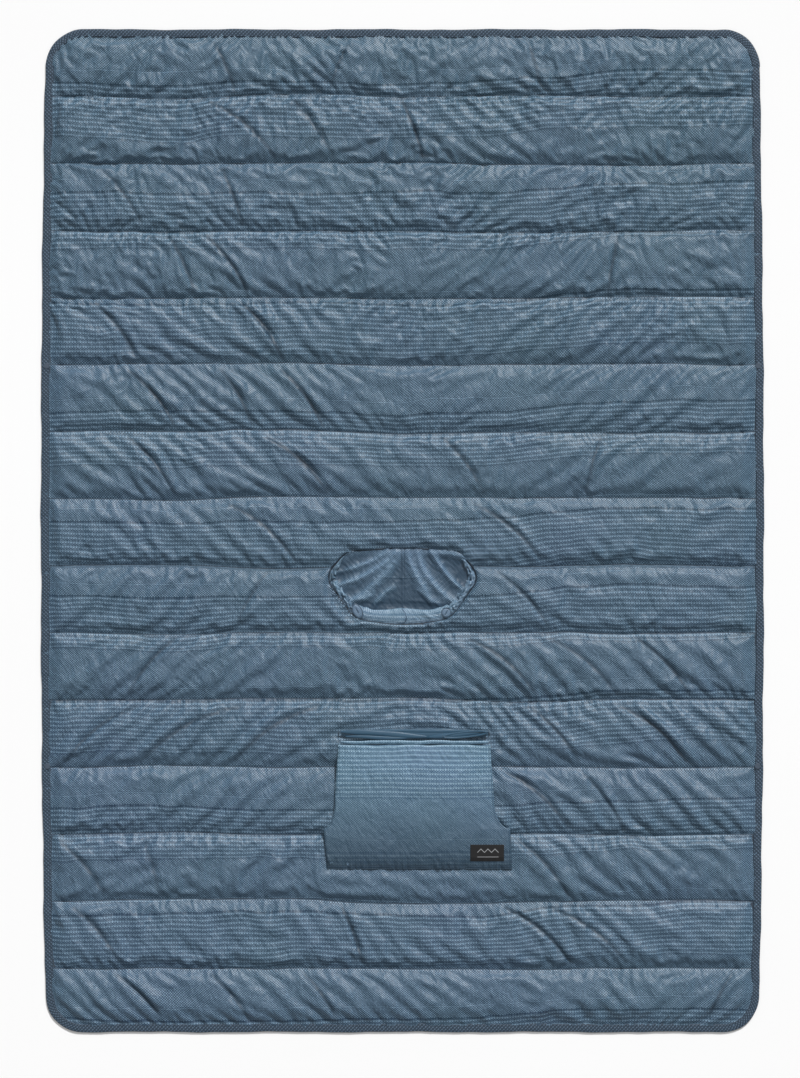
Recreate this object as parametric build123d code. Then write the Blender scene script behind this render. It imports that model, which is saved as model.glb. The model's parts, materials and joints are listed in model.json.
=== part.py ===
from build123d import *
import os

# A quilted camp blanket that is also a poncho. It lies flat with its outer shell up.
# +X is the wearer's left, +Y runs from the front hem to the back hem, +Z is up.
# The origin is on the ground under the middle of the blanket. Sizes are in millimetres.

os.makedirs("parts", exist_ok=True)

# Blanket
length = 2000.0
width = 1442.0
side_bow = 10.0
corner_radius = 74.0
cloth = 0.5
crown_height = 15.0
seam_height = 3.4

# Rim, where shell and lining lie flat on each other inside the binding
rim_bottom = 2.5
rim_top = 3.05
rim_width = 17.0
binding_width = 16.0
binding_wall = 0.6
shell_taper = 45.0
lining_taper = 40.0

# Quilting: straight seams from side to side, counted from the back hem
channel_count = 15
channel_pitch = 133.75
first_seam_y = 866.0
shoulder_channel = 8
seam_clearance = 4.0
thread_width = 0.8
fill_gap = 0.3

# Neck opening: the nape and chin edges bow out to these heights, and three corners on each
# side are (half width, y, rounding radius, width of the hood hem there)
nape_y = -37.5
nape_hem = 5.0
chin_y = -185.5
chin_hem = 28.0
neck_corners = [
    (114.0, -43.0, 45.0, 10.0),
    (154.0, -92.0, 30.0, 18.0),
    (96.0, -173.0, 50.0, 30.0),
]
neck_centre_y = -111.0
smallest_round = 10.0
neck_hole_grow = 4.0
neck_binding_inner = 2.0
neck_fill_grow = 12.0
neck_binding_rise = 1.0

# Hood, stowed flat in the neck opening
hood_panel_bottom = 2.5
hood_panel_thick = 1.5
hem_bottom = 4.0
hem_top = 12.0
hem_wall = 0.8
elastic_width = 3.0
elastic_inset = 3.0
hood_tape_width = 10.0
hood_tape_thick = 0.6
patch_x = 88.0
patch_y = -156.0
patch_radius = 9.0
patch_thick = 0.6
buttonhole_length = 8.0
buttonhole_width = 1.5
panel_grow = 1.5
tape_grow = 1.0
whole_hem = 1.0
centre_gap = 0.1
elastic_gap = 0.2

# Press snaps on the side binding, matched front to back about the shoulder seam
snap_reach = 399.0
snap_inset = 11.0
snap_cap_radius = 6.0
snap_cap_thick = 1.6
snap_cap_round = 1.0
snap_base_radius = 5.0
snap_post_radius = 1.5
snap_post_clearance = 0.1
snap_bottom = 0.2
snap_knob_radius = 2.4
snap_recess_radius = 2.6
snap_knob_height = 1.0

# Hand pocket on the front
pocket_top_y = -426.0
pocket_bottom_y = -675.0
pocket_curve_top_y = -536.0
pocket_curve_mid_y = -566.0
pocket_curve_bottom_y = -593.0
pocket_top_x = (-129.0, 175.0)
pocket_curve_mid_x = (-136.0, 184.0)
pocket_bottom_x = (-157.0, 218.0)
pocket_cloth = 1.0
pocket_top_z = 25.0
pocket_middle_z = 26.0
pocket_bottom_z = 16.7
liner_drop = 1.4
liner_bottom_y = -612.0
lip_y = (-416.0, -394.0)
lip_z = (15.8, 22.0)
hem_strip_y = (-425.5, -416.5)
hem_strip_z = (16.4, 23.8)
stitch_rows_y = (-667.0, -671.5)
stitch_height = 0.4
label_size = (67.0, 33.0)
label_centre = (168.5, -641.0)
label_thick = 0.8
bar_tack_size = (9.0, 4.0, 1.2)
bar_tack_gap = 1.0
layer_gap = 0.05
liner_inset = 4.0
lip_inset = (5.0, 3.0)
lip_round = 2.8
stitch_inset = 4.0
stitch_corner = 2.0

# Worked out from the above
seam_ys = [first_seam_y - channel_pitch * i for i in range(channel_count - 1)]
fold_y = seam_ys[shoulder_channel - 1]
far = 3000.0
tall = 60.0
spare = 5.0


def rim(inset, z):
    """The blanket's rounded outline, drawn in by inset, at height z."""
    half_middle = width / 2 - inset
    half_end = half_middle - side_bow
    half_length = length / 2 - inset
    with BuildSketch(Plane.XY.offset(z)) as sketch:
        with BuildLine():
            ThreePointArc((half_end, -half_length), (half_middle, 0), (half_end, half_length))
            Line((half_end, half_length), (-half_end, half_length))
            ThreePointArc((-half_end, half_length), (-half_middle, 0), (-half_end, -half_length))
            Line((-half_end, -half_length), (half_end, -half_length))
        make_face()
        fillet(sketch.vertices(), corner_radius - inset)
    return sketch.sketch


def rim_block(inset, low, high):
    return extrude(rim(inset, low), high - low)


def neck_face(z, grow=0.0, hem_share=0.0):
    """The neck outline moved out by grow, and in by a share of the hood hem's width."""
    nape = (0, nape_y + grow - hem_share * nape_hem)
    chin = (0, chin_y - grow + hem_share * chin_hem)
    left, right, rounds = [], [], []
    for x, y, radius, hem in neck_corners:
        step = grow - hem_share * hem
        reach = (x**2 + (y - neck_centre_y) ** 2) ** 0.5
        new_x = x + step * x / reach
        new_y = y + step * (y - neck_centre_y) / reach
        right.append((new_x, new_y))
        left.append((-new_x, new_y))
        rounds.append(max(radius + step, smallest_round))
    with BuildSketch(Plane.XY.offset(z)) as sketch:
        with BuildLine():
            ThreePointArc(left[0], nape, right[0])
            Polyline(*right)
            ThreePointArc(right[-1], chin, left[-1])
            Polyline(*reversed(left))
        make_face()
        for corner, radius in zip(right + left, rounds + rounds):
            fillet(sketch.vertices().sort_by_distance((*corner, z))[0], radius)
    return sketch.sketch


def neck_block(low, high, grow=0.0, hem_share=0.0):
    return extrude(neck_face(low, grow, hem_share), high - low)


def box_between(x, y, z):
    """A box from its lowest to its highest coordinate along each axis."""
    sizes = (x[1] - x[0], y[1] - y[0], z[1] - z[0])
    middle = ((x[0] + x[1]) / 2, (y[0] + y[1]) / 2, (z[0] + z[1]) / 2)
    return Pos(*middle) * Box(*sizes)


def quilt_waves():
    """A prism across the blanket whose top is one pillow per channel."""
    reach = length / 2 + spare
    ends = [reach] + seam_ys + [-reach]
    with BuildSketch(Plane.YZ) as sketch:
        with BuildLine():
            for start, end in zip(ends[:-1], ends[1:]):
                middle = ((start + end) / 2, crown_height)
                ThreePointArc((start, seam_height), middle, (end, seam_height))
            Polyline((-reach, seam_height), (-reach, -spare), (reach, -spare), (reach, seam_height))
        make_face()
    return extrude(sketch.sketch, far, both=True)


def space_under_shell():
    """The filled space: pillows that taper down to a flat rim."""
    rim_slab = rim_block(binding_wall, 0, rim_top)
    dome = loft([rim(rim_width, rim_top), rim(rim_width + shell_taper, crown_height + 1)], ruled=True)
    return quilt_waves() & (rim_slab + dome)


def space_over_lining():
    """The space above the lining's underside, which curls up to the rim."""
    bowl = loft([rim(rim_width + lining_taper, 0), rim(rim_width, rim_bottom)], ruled=True)
    return bowl + rim_block(binding_wall, rim_bottom, tall)


def snap_places(side):
    """The two snap centres, side +1 on the back and -1 on the front."""
    y = fold_y + side * snap_reach
    x = width / 2 - side_bow * (y / (length / 2)) ** 2 - snap_inset
    return [(-x, y), (x, y)]


def at_snaps(side, solid):
    return [Pos(x, y, 0) * solid for x, y in snap_places(side)]


def cut_snap_holes(solid):
    hole = Pos(0, 0, tall / 2) * Cylinder(snap_post_radius + snap_post_clearance, tall)
    for side in (1, -1):
        for place in at_snaps(side, hole):
            solid = solid - place
    return solid


def back_half(solid):
    return solid & box_between((-far, far), (fold_y, far), (-tall, tall))


def front_half(solid):
    return solid & box_between((-far, far), (-far, fold_y), (-tall, tall))


def save(node, shape):
    """Write a node as one STEP file holding all its solids."""
    parts = shape if isinstance(shape, list) else [shape]
    solids = [solid for part in parts for solid in part.solids()]
    result = solids[0] if len(solids) == 1 else Compound(children=solids)
    result.label = node
    export_step(result, f"parts/{node}.step")


def save_halves(name, solid):
    save(f"back_{name}", back_half(solid))
    save(f"front_{name}", front_half(solid))


under_shell = space_under_shell()
over_lining = space_over_lining()
neck_hole = neck_block(-tall, tall, neck_hole_grow)


def make_shell():
    skin = Pos(0, 0, cloth) * under_shell - under_shell
    return cut_snap_holes(skin - neck_hole)


def make_lining():
    skin = over_lining - Pos(0, 0, cloth) * over_lining
    return cut_snap_holes(skin - neck_hole)


def make_edge_binding():
    top = rim_top + cloth
    tape = rim_block(0, rim_bottom - cloth, top + cloth)
    tape -= rim_block(binding_wall, rim_bottom, top)
    tape -= rim_block(binding_width, -1, tall)
    return cut_snap_holes(tape)


def make_neck_binding():
    ring = neck_block(0, tall, neck_hole_grow) - neck_block(-1, tall + 1, neck_binding_inner)
    return ring & Pos(0, 0, neck_binding_rise) * under_shell


def fill_space():
    """Where the insulation may be: between the two skins, clear of the rim and the neck."""
    space = Pos(0, 0, -fill_gap) * under_shell & rim_block(rim_width + 2, 0, tall)
    space = space & Pos(0, 0, cloth) * over_lining
    return space - neck_block(-tall, tall, neck_fill_grow)


def save_insulation():
    space = fill_space()
    ends = [length / 2] + seam_ys + [-length / 2]
    for channel in range(1, channel_count + 1):
        low = ends[channel] + seam_clearance
        high = ends[channel - 1] - seam_clearance
        side = "back" if channel <= shoulder_channel else "front"
        batt = space & box_between((-far, far), (low, high), (0, tall))
        save(f"{side}_insulation_{channel:02d}", batt)


def seam_thread(y):
    """The line of stitches that ties the shell to the lining along one seam."""
    half_width = width / 2 - rim_width - 2
    bar = box_between(
        (-half_width, half_width),
        (y - thread_width / 2, y + thread_width / 2),
        (cloth, seam_height),
    )
    bar = bar & Pos(0, 0, cloth) * over_lining & rim_block(rim_width + 2, 0, tall)
    return bar - neck_hole


def save_quilt_stitching():
    shoulder_seam = fold_y + thread_width
    back_ys = seam_ys[: shoulder_channel - 1] + [shoulder_seam]
    save("back_quilt_stitching", [seam_thread(y) for y in back_ys])
    save("front_quilt_stitching", [seam_thread(y) for y in seam_ys[shoulder_channel:]])


def upright_cylinder(radius, low, high):
    return Pos(0, 0, (low + high) / 2) * Cylinder(radius, high - low)


def save_snaps():
    """A cap on top, a post through the rim, and a socket or a stud underneath."""
    base_top = rim_bottom - cloth
    cap_bottom = rim_top + 2 * cloth
    cap = upright_cylinder(snap_cap_radius, cap_bottom, cap_bottom + snap_cap_thick)
    cap = fillet(cap.edges().group_by(Axis.Z)[-1], snap_cap_round)
    post = upright_cylinder(snap_post_radius, base_top, cap_bottom)
    socket = upright_cylinder(snap_base_radius, snap_bottom, base_top)
    socket -= upright_cylinder(snap_recess_radius, snap_bottom - 1, snap_bottom + snap_knob_height)
    stud = upright_cylinder(snap_base_radius, snap_bottom + snap_knob_height, base_top)
    stud += upright_cylinder(snap_knob_radius, snap_bottom, base_top)
    for side, name, fastener, half in ((1, "back", "sockets", socket), (-1, "front", "studs", stud)):
        save(f"{name}_snap_caps", at_snaps(side, cap))
        save(f"{name}_snap_posts", at_snaps(side, post))
        save(f"{name}_snap_{fastener}", at_snaps(side, half))


def save_hood():
    panel_top = hood_panel_bottom + hood_panel_thick
    sheet = neck_block(hood_panel_bottom, panel_top, -panel_grow)
    save("hood_left_panel", sheet & box_between((centre_gap, far), (-far, far), (0, tall)))
    save("hood_right_panel", sheet & box_between((-far, -centre_gap), (-far, far), (0, tall)))

    tape = neck_block(panel_top, panel_top + hood_tape_thick, -tape_grow, whole_hem)
    half_tape = hood_tape_width / 2
    save("hood_seam_tape", tape & box_between((-half_tape, half_tape), (-far, far), (0, tall)))

    hem = neck_block(hem_bottom, hem_top) - neck_block(0, tall, 0.0, whole_hem)
    tunnel = neck_block(hem_bottom + hem_wall, hem_top - hem_wall, -hem_wall)
    tunnel -= neck_block(0, tall, hem_wall, whole_hem)
    save("hood_hem", hem - tunnel)

    middle = (hem_bottom + hem_top) / 2
    band_low = middle - elastic_width / 2
    band = neck_block(band_low, band_low + elastic_width, -hem_wall - elastic_gap)
    band -= neck_block(0, tall, -elastic_inset)
    save("hood_elastic", band)

    patches = []
    for side in (-1, 1):
        disc = upright_cylinder(patch_radius, hem_top, hem_top + patch_thick)
        slit = Pos(0, 0, hem_top) * Box(buttonhole_length, buttonhole_width, 4)
        patches.append(Pos(side * patch_x, patch_y, 0) * (disc - slit))
    save("hood_buttonhole_patches", patches)


def pocket_face(inset=0.0):
    """The pocket's outline: straight top, hand curves at the sides, square bottom."""
    (left_top, right_top), (left_mid, right_mid) = pocket_top_x, pocket_curve_mid_x
    left_low, right_low = pocket_bottom_x
    top = pocket_top_y - inset
    bottom = pocket_bottom_y + inset
    with BuildSketch() as sketch:
        with BuildLine():
            Polyline(
                (left_top + inset, pocket_curve_top_y),
                (left_top + inset, top),
                (right_top - inset, top),
                (right_top - inset, pocket_curve_top_y),
            )
            ThreePointArc(
                (right_top - inset, pocket_curve_top_y),
                (right_mid - inset, pocket_curve_mid_y),
                (right_low - inset, pocket_curve_bottom_y),
            )
            Polyline(
                (right_low - inset, pocket_curve_bottom_y),
                (right_low - inset, bottom),
                (left_low + inset, bottom),
                (left_low + inset, pocket_curve_bottom_y),
            )
            ThreePointArc(
                (left_low + inset, pocket_curve_bottom_y),
                (left_mid + inset, pocket_curve_mid_y),
                (left_top + inset, pocket_curve_top_y),
            )
        make_face()
    return sketch.sketch


def pocket_block(inset=0.0):
    return extrude(pocket_face(inset), tall)


def space_under_pocket(drop):
    """Everything under the pocket's arched top, lowered by drop."""
    start, end = pocket_top_y + spare, pocket_bottom_y
    middle_y = (start + end) / 2
    with BuildSketch(Plane.YZ) as sketch:
        with BuildLine():
            ThreePointArc(
                (start, pocket_top_z - drop),
                (middle_y, pocket_middle_z - drop),
                (end, pocket_bottom_z - drop),
            )
            Polyline(
                (end, pocket_bottom_z - drop), (end, 0), (start, 0), (start, pocket_top_z - drop)
            )
        make_face()
    return extrude(sketch.sketch, far, both=True)


def pocket_layer(low, high):
    """A sheet that follows the pocket's top, from low to high above it."""
    return space_under_pocket(-high) - space_under_pocket(-low)


def save_pocket():
    panel = pocket_layer(-pocket_cloth, 0) & pocket_block()
    walls = (pocket_block() - pocket_block(pocket_cloth)) & space_under_pocket(0)
    wall_y = (pocket_bottom_y, pocket_curve_bottom_y)
    walls = walls & box_between((-far, far), wall_y, (seam_height, tall))
    walls = walls - Pos(0, 0, cloth + layer_gap) * under_shell
    save("pocket_panel", panel + walls)

    liner = pocket_layer(-liner_drop - cloth, -liner_drop) & pocket_block(pocket_cloth + liner_inset)
    liner = liner & box_between((-far, far), (liner_bottom_y, 0), (0, tall))
    save("pocket_liner", liner)

    lip_x = (pocket_top_x[0] + lip_inset[0], pocket_top_x[1] - lip_inset[1])
    lip = box_between(lip_x, lip_y, lip_z)
    save("pocket_liner_lip", fillet(lip.edges().filter_by(Axis.X), lip_round))
    save("pocket_top_hem", box_between(lip_x, hem_strip_y, hem_strip_z))

    rows = []
    thread = pocket_layer(0, stitch_height)
    for y in stitch_rows_y:
        x = (pocket_bottom_x[0] + stitch_inset, pocket_bottom_x[1] - stitch_inset)
        rows.append(thread & box_between(x, (y - thread_width / 2, y + thread_width / 2), (0, tall)))
    left, right = pocket_bottom_x[0] + stitch_inset, pocket_bottom_x[1] - stitch_inset
    for x in (left, right - thread_width):
        y = (stitch_rows_y[0] + stitch_corner, pocket_curve_bottom_y - stitch_inset)
        rows.append(thread & box_between((x, x + thread_width), y, (0, tall)))
    save("pocket_stitching", rows)

    length_x, length_y, height = bar_tack_size
    lip_middle = sum(lip_y) / 2
    tack_z = crown_height + cloth + layer_gap + height / 2
    out = length_x / 2 + bar_tack_gap
    tack = Box(length_x, length_y, height)
    tacks = [Pos(x, lip_middle, tack_z) * tack for x in (lip_x[0] - out, lip_x[1] + out)]
    save("pocket_bar_tacks", tacks)

    x, y = label_centre
    across, along = label_size
    window = box_between((x - across / 2, x + across / 2), (y - along / 2, y + along / 2), (0, tall))
    save("label", pocket_layer(layer_gap, layer_gap + label_thick) & window)


save_halves("outer_shell", make_shell())
save_halves("lining", make_lining())
save_halves("edge_binding", make_edge_binding())
save_halves("neck_binding", make_neck_binding())
save_insulation()
save_quilt_stitching()
save_snaps()
save_hood()
save_pocket()
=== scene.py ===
"""The looks of a quilted camp blanket that is also a poncho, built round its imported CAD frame.
Lengths are in metres. +X is the wearer's left, +Y runs to the back hem, +Z is up."""

import json
import math
import bpy
import numpy as np
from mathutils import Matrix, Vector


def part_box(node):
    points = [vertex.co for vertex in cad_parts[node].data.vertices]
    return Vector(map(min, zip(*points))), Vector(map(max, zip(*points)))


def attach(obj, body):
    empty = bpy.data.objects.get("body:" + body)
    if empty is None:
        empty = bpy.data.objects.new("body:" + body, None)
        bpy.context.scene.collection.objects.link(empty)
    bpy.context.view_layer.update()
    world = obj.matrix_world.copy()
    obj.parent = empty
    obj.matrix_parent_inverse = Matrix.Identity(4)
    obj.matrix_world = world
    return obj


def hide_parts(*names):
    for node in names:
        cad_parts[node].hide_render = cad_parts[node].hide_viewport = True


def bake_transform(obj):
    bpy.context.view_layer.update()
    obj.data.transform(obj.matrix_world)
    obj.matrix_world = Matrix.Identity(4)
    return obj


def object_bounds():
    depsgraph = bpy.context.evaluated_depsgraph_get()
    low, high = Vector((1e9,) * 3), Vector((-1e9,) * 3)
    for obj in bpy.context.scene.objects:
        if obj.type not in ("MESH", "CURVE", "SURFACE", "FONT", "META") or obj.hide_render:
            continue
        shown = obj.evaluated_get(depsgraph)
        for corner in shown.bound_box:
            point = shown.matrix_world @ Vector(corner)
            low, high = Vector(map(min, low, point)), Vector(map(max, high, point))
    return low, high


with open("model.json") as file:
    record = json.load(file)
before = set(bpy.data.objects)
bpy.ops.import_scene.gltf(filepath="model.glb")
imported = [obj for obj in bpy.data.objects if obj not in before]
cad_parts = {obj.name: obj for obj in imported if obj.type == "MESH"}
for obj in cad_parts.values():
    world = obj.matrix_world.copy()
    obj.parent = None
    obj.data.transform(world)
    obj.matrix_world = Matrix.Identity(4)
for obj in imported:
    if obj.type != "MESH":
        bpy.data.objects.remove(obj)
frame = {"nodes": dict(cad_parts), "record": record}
cad_low, cad_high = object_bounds()

# ---------------------------------------------------------------- sizes from the frame
half_width = (cad_high[0] - cad_low[0]) / 2
half_length = (cad_high[1] - cad_low[1]) / 2
joint_places = {joint["name"]: joint["pos_m"] for joint in frame["record"]["behaviour"]["joints"]}
fold_y = joint_places["shoulder_fold"][1]
hood_low, hood_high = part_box("hood_hem")
neck_middle = np.array([0.0, (hood_low[1] + hood_high[1]) / 2])
pocket_low, pocket_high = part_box("pocket_panel")
lip_low, lip_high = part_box("pocket_liner_lip")
strip_low, strip_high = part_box("pocket_top_hem")
label_low, label_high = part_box("label")


def channel_node(number):
    """The name of a channel's insulation, counted from the back hem."""
    name = f"back_insulation_{number:02d}"
    return name if name in frame["nodes"] else f"front_insulation_{number:02d}"


channel_count = sum("_insulation_" in name for name in frame["nodes"])
channel_boxes = [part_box(channel_node(number)) for number in range(1, channel_count + 1)]
seam_ys = [(a[0][1] + b[1][1]) / 2 for a, b in zip(channel_boxes[:-1], channel_boxes[1:])]
shoulder_seam = int(np.argmin([abs(y - fold_y) for y in seam_ys]))

# ---------------------------------------------------------------- sizes of the cloth
corner_radius = 0.074
side_bow = 0.010
binding_width = 0.016
shell_inset = 0.005
neck_rim_z = 0.0068
cloth_neck_gap = 0.0015
filling_neck_gap = 0.010
filling_gap = 0.0008
seam_height = 0.0034
loft = 0.0114
rim_taper = 0.055
rows_per_channel = 33
column_count = 357
seam_groove = 0.0014
seam_depth = 0.0013
fold_zone = 0.018
crispness = 0.55
neck_round_width = 0.016
ceiling_share = 1.45
lowest_share = 0.68
lowest_crease_share = 0.62
smooth_bend = 0.0018
crumpled_bend = 0.0003
print_period = 0.216
print_start = 0.0168
back_period = 0.218
front_period = 0.2107
front_print_start = 0.0651
row_pitch = 0.0090
dot_pitch = 0.0052
fine_pitch = 0.0045
band_end = 0.104
fine_start = 0.108
fine_end = 0.2135
rule_place = 0.190

# The pocket's outline, from its CAD box and the two heights where the hand curves start and end
hand_curve_top = pocket_high[1] - 0.110
hand_curve_bottom = pocket_high[1] - 0.167


# ---------------------------------------------------------------- small helpers
def smoothstep(value, low=0.0, high=1.0):
    share = np.clip((value - low) / (high - low), 0, 1)
    return share * share * (3 - 2 * share)


def bell(value, width):
    """1 where value is 0, falling smoothly towards 0 a few widths away."""
    return np.exp(-((value / width) ** 2))


def mound(x, y, middle, size_x, size_y):
    """A round bell over the plan, with its own size each way."""
    return np.exp(-(((x - middle[0]) / size_x) ** 2) - ((y - middle[1]) / size_y) ** 2)


def arc_lengths(points):
    """How far along a line of points each point lies."""
    steps = np.linalg.norm(np.diff(points, axis=0), axis=1)
    return np.concatenate([[0], np.cumsum(steps)])


def between(corners, share_x, share_y):
    """The value between four corners, two above and two below."""
    above_left, above_right, below_left, below_right = corners
    top = above_left * (1 - share_x) + above_right * share_x
    bottom = below_left * (1 - share_x) + below_right * share_x
    return top * (1 - share_y) + bottom * share_y


def lattice_noise(shape, cells, seed):
    """Smooth noise over a grid, about one standard deviation high, with a given cell size."""
    rows, columns = shape
    values = np.random.default_rng(seed).standard_normal(
        (int(rows / cells[0]) + 3, int(columns / cells[1]) + 3)
    )
    y = np.linspace(0, values.shape[0] - 2.001, rows)
    x = np.linspace(0, values.shape[1] - 2.001, columns)
    yi, xi = y.astype(int), x.astype(int)
    fy, fx = smoothstep(y - yi)[:, None], smoothstep(x - xi)[None, :]
    corners = [values[yi + row][:, xi + column] for row in (0, 1) for column in (0, 1)]
    return between(corners, fx, fy)


def crease_lines(x, y, lean, length, width, seed):
    """Long narrow creases that lean at an angle: 1 along each line, falling to 0 either side."""
    across = (x * math.cos(lean) + y * math.sin(lean)) / width
    along = (y * math.cos(lean) - x * math.sin(lean)) / length
    size = 97
    table = np.random.default_rng(seed).standard_normal((size, size))
    u, v = np.floor(across).astype(int), np.floor(along).astype(int)
    fu, fv = smoothstep(across - u), smoothstep(along - v)
    corners = [table[(u + j) % size, (v + i) % size] for i in (0, 1) for j in (0, 1)]
    return np.clip(1 - 1.5 * np.abs(between(corners, fu, fv)), 0, 1)


def wave_noise(along, wavelength, seed, octaves=3):
    """Smooth noise of one variable, about one high, from a few sines of random phase."""
    random = np.random.default_rng(seed)
    total = np.zeros_like(along, dtype=float)
    for octave in range(octaves):
        scale = 2.0**octave
        phase, stretch = random.uniform(0, 2 * math.pi), random.uniform(0.8, 1.2)
        total += np.sin(2 * math.pi * along * scale * stretch / wavelength + phase) / scale
    return total


def make_mesh(name, points, faces, uv):
    """A smooth mesh object from arrays. uv has one pair for each point."""
    mesh = bpy.data.meshes.new(name)
    mesh.from_pydata(np.asarray(points, float).tolist(), [], np.asarray(faces).tolist())
    corners = np.empty(len(mesh.loops), int)
    mesh.loops.foreach_get("vertex_index", corners)
    layer = mesh.uv_layers.new(name="cloth")
    layer.data.foreach_set("uv", np.asarray(uv, float)[corners].ravel())
    mesh.polygons.foreach_set("use_smooth", [True] * len(mesh.polygons))
    mesh.update()
    piece = bpy.data.objects.new(name, mesh)
    bpy.context.scene.collection.objects.link(piece)
    return piece


def set_shade(piece, values):
    """How much painted shade darkens the cloth at each point, from 0 to 1."""
    layer = piece.data.attributes.new("shade", "FLOAT", "POINT")
    layer.data.foreach_set("value", np.clip(values, 0, 1).astype(np.float32))


def grid_faces(rows, columns, wrap=False, flip=False):
    """Quads over a grid of points in row order; wrap joins the last column to the first."""
    number = np.arange(rows * columns).reshape(rows, columns)
    if wrap:
        number = np.concatenate([number, number[:, :1]], axis=1)
    a, b = number[:-1, :-1].ravel(), number[:-1, 1:].ravel()
    c, d = number[1:, 1:].ravel(), number[1:, :-1].ravel()
    return np.stack([a, b, c, d] if flip else [a, d, c, b], axis=1)


def grid_uv(along, across):
    """A grid of uv pairs, from the distance along its rows and across its columns."""
    return np.stack(np.broadcast_arrays(along[:, None], across[None, :]), axis=2)


def close_loop(grid, uv, step):
    """A grid and its uv with the first row again at the end, one step further on."""
    return np.concatenate([grid, grid[:1]]), np.concatenate([uv, uv[:1] + [uv[-1, 0, 0] + step, 0]])


def grid_mesh(name, grid, uv):
    """A mesh object from a grid of points and a grid of uv pairs."""
    faces = grid_faces(*grid.shape[:2])
    return make_mesh(name, grid.reshape(-1, 3), faces, uv.reshape(-1, 2))


def join_parts(parts):
    """One set of points, faces and uv from several."""
    points, faces, uv, count = [], [], [], 0
    for part_points, part_faces, part_uv in parts:
        points.append(part_points)
        faces.append(part_faces + count)
        uv.append(part_uv)
        count += len(part_points)
    return np.concatenate(points), np.concatenate(faces), np.concatenate(uv)


def drop_unused(points, faces, uv):
    """Leaves out the points that no face uses."""
    used = np.unique(faces)
    place = np.zeros(len(points), int)
    place[used] = np.arange(len(used))
    return points[used], place[faces], uv[used]


def thicken(piece, thickness):
    """Gives a sheet real thickness, below its own surface."""
    solid = piece.modifiers.new("thickness", "SOLIDIFY")
    solid.thickness = thickness
    solid.offset = -1.0
    graph = bpy.context.evaluated_depsgraph_get()
    mesh = bpy.data.meshes.new_from_object(piece.evaluated_get(graph))
    piece.modifiers.clear()
    old = piece.data
    piece.data = mesh
    bpy.data.meshes.remove(old)


# ---------------------------------------------------------------- cloth solver
link_steps = (
    # rows and columns that a link reaches over, and its strength
    (0, 1, 1.0), (1, 0, 1.0), (1, 1, 0.6), (1, -1, 0.6),
)
solver_steps = 280
passes_per_step = 2
speed_kept = 0.92
longest_glide = 0.0015
link_softness = 0.42


def neighbours(grid, rows, columns):
    """Two views of a grid: each point, and the point that many rows and columns on."""
    height, width = grid.shape[:2]
    if columns >= 0:
        return grid[: height - rows, : width - columns], grid[rows:, columns:]
    return grid[: height - rows, -columns:], grid[rows:, :columns]


def laplacian(grid):
    result = np.zeros_like(grid)
    result[1:-1, 1:-1] = (
        grid[:-2, 1:-1] + grid[2:, 1:-1] + grid[1:-1, :-2] + grid[1:-1, 2:] - 4 * grid[1:-1, 1:-1]
    )
    return result


def rest_lengths(base, across, along, shear):
    """The length of every link once the cloth is a little larger than its frame, and askew."""
    column_edge = np.zeros_like(base)
    row_edge = np.zeros_like(base)
    column_edge[:, :-1] = base[:, 1:] - base[:, :-1]
    column_edge[:, -1] = column_edge[:, -2]
    row_edge[:-1] = base[1:] - base[:-1]
    row_edge[-1] = row_edge[-2]
    sideways = column_edge / np.maximum(np.linalg.norm(column_edge, axis=2, keepdims=True), 1e-9)
    lean = (shear * np.linalg.norm(row_edge, axis=2))[..., None] * sideways
    column_edge = column_edge * (1 + across)[..., None]
    row_edge = row_edge * (1 + along)[..., None] - lean
    lengths = []
    for rows, columns, share in link_steps:
        whole = np.linalg.norm(rows * row_edge + columns * column_edge, axis=2)
        lengths.append(neighbours(whole, rows, columns)[0].astype(np.float32))
    return lengths


def settle(base, across, along, shear, bend, pinned, low, high, bumps):
    """Cloth sewn to a frame smaller than itself: its links push it out into wrinkles, its
    stiffness rounds them, and it stays between the filling and a height limit."""
    base = base.astype(np.float32)
    lengths = rest_lengths(base, across, along, shear)
    free = (~pinned)[..., None].astype(np.float32)
    stiffness = np.broadcast_to(np.asarray(bend, np.float32), base.shape[:2])[..., None] * free
    points = base.copy()
    points[..., 2] += (bumps * free[..., 0]).astype(np.float32)
    before = points.copy()
    for _ in range(solver_steps):
        glide = np.clip((points - before) * speed_kept, -longest_glide, longest_glide)
        before = points.copy()
        points = points + glide * free
        for _ in range(passes_per_step):
            moves = np.zeros_like(points)
            for (rows, columns, share), length in zip(link_steps, lengths):
                a, b = neighbours(points, rows, columns)
                gap = b - a
                now = np.sqrt((gap * gap).sum(axis=2))
                pull = ((now - length) / np.maximum(now, 1e-9) * 0.5 * share)[..., None] * gap
                move_a, move_b = neighbours(moves, rows, columns)
                move_a += pull
                move_b -= pull
            points += moves * free * link_softness
        points -= laplacian(laplacian(points)) * stiffness
        points[..., 2] = np.clip(points[..., 2], low, high)
    return points.astype(float)


# ---------------------------------------------------------------- outlines
def row_half_width(y, inset):
    """Half the blanket's width at y, drawn in by inset, with its rounded corners."""
    limit = half_length - inset
    side = half_width - inset - side_bow * (y / half_length) ** 2
    radius = corner_radius - inset
    rise = np.clip(np.abs(y) - (limit - radius), 0, radius)
    return side - radius + np.sqrt(np.maximum(radius**2 - rise**2, 0))


def rim_distance(x, y):
    """How far a point lies inside the blanket's rounded edge."""
    side = half_width - side_bow * (y / half_length) ** 2
    out_x = np.abs(x) - (side - corner_radius)
    out_y = np.abs(y) - (half_length - corner_radius)
    outside = np.hypot(np.maximum(out_x, 0), np.maximum(out_y, 0))
    return corner_radius - outside - np.minimum(np.maximum(out_x, out_y), 0)


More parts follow.
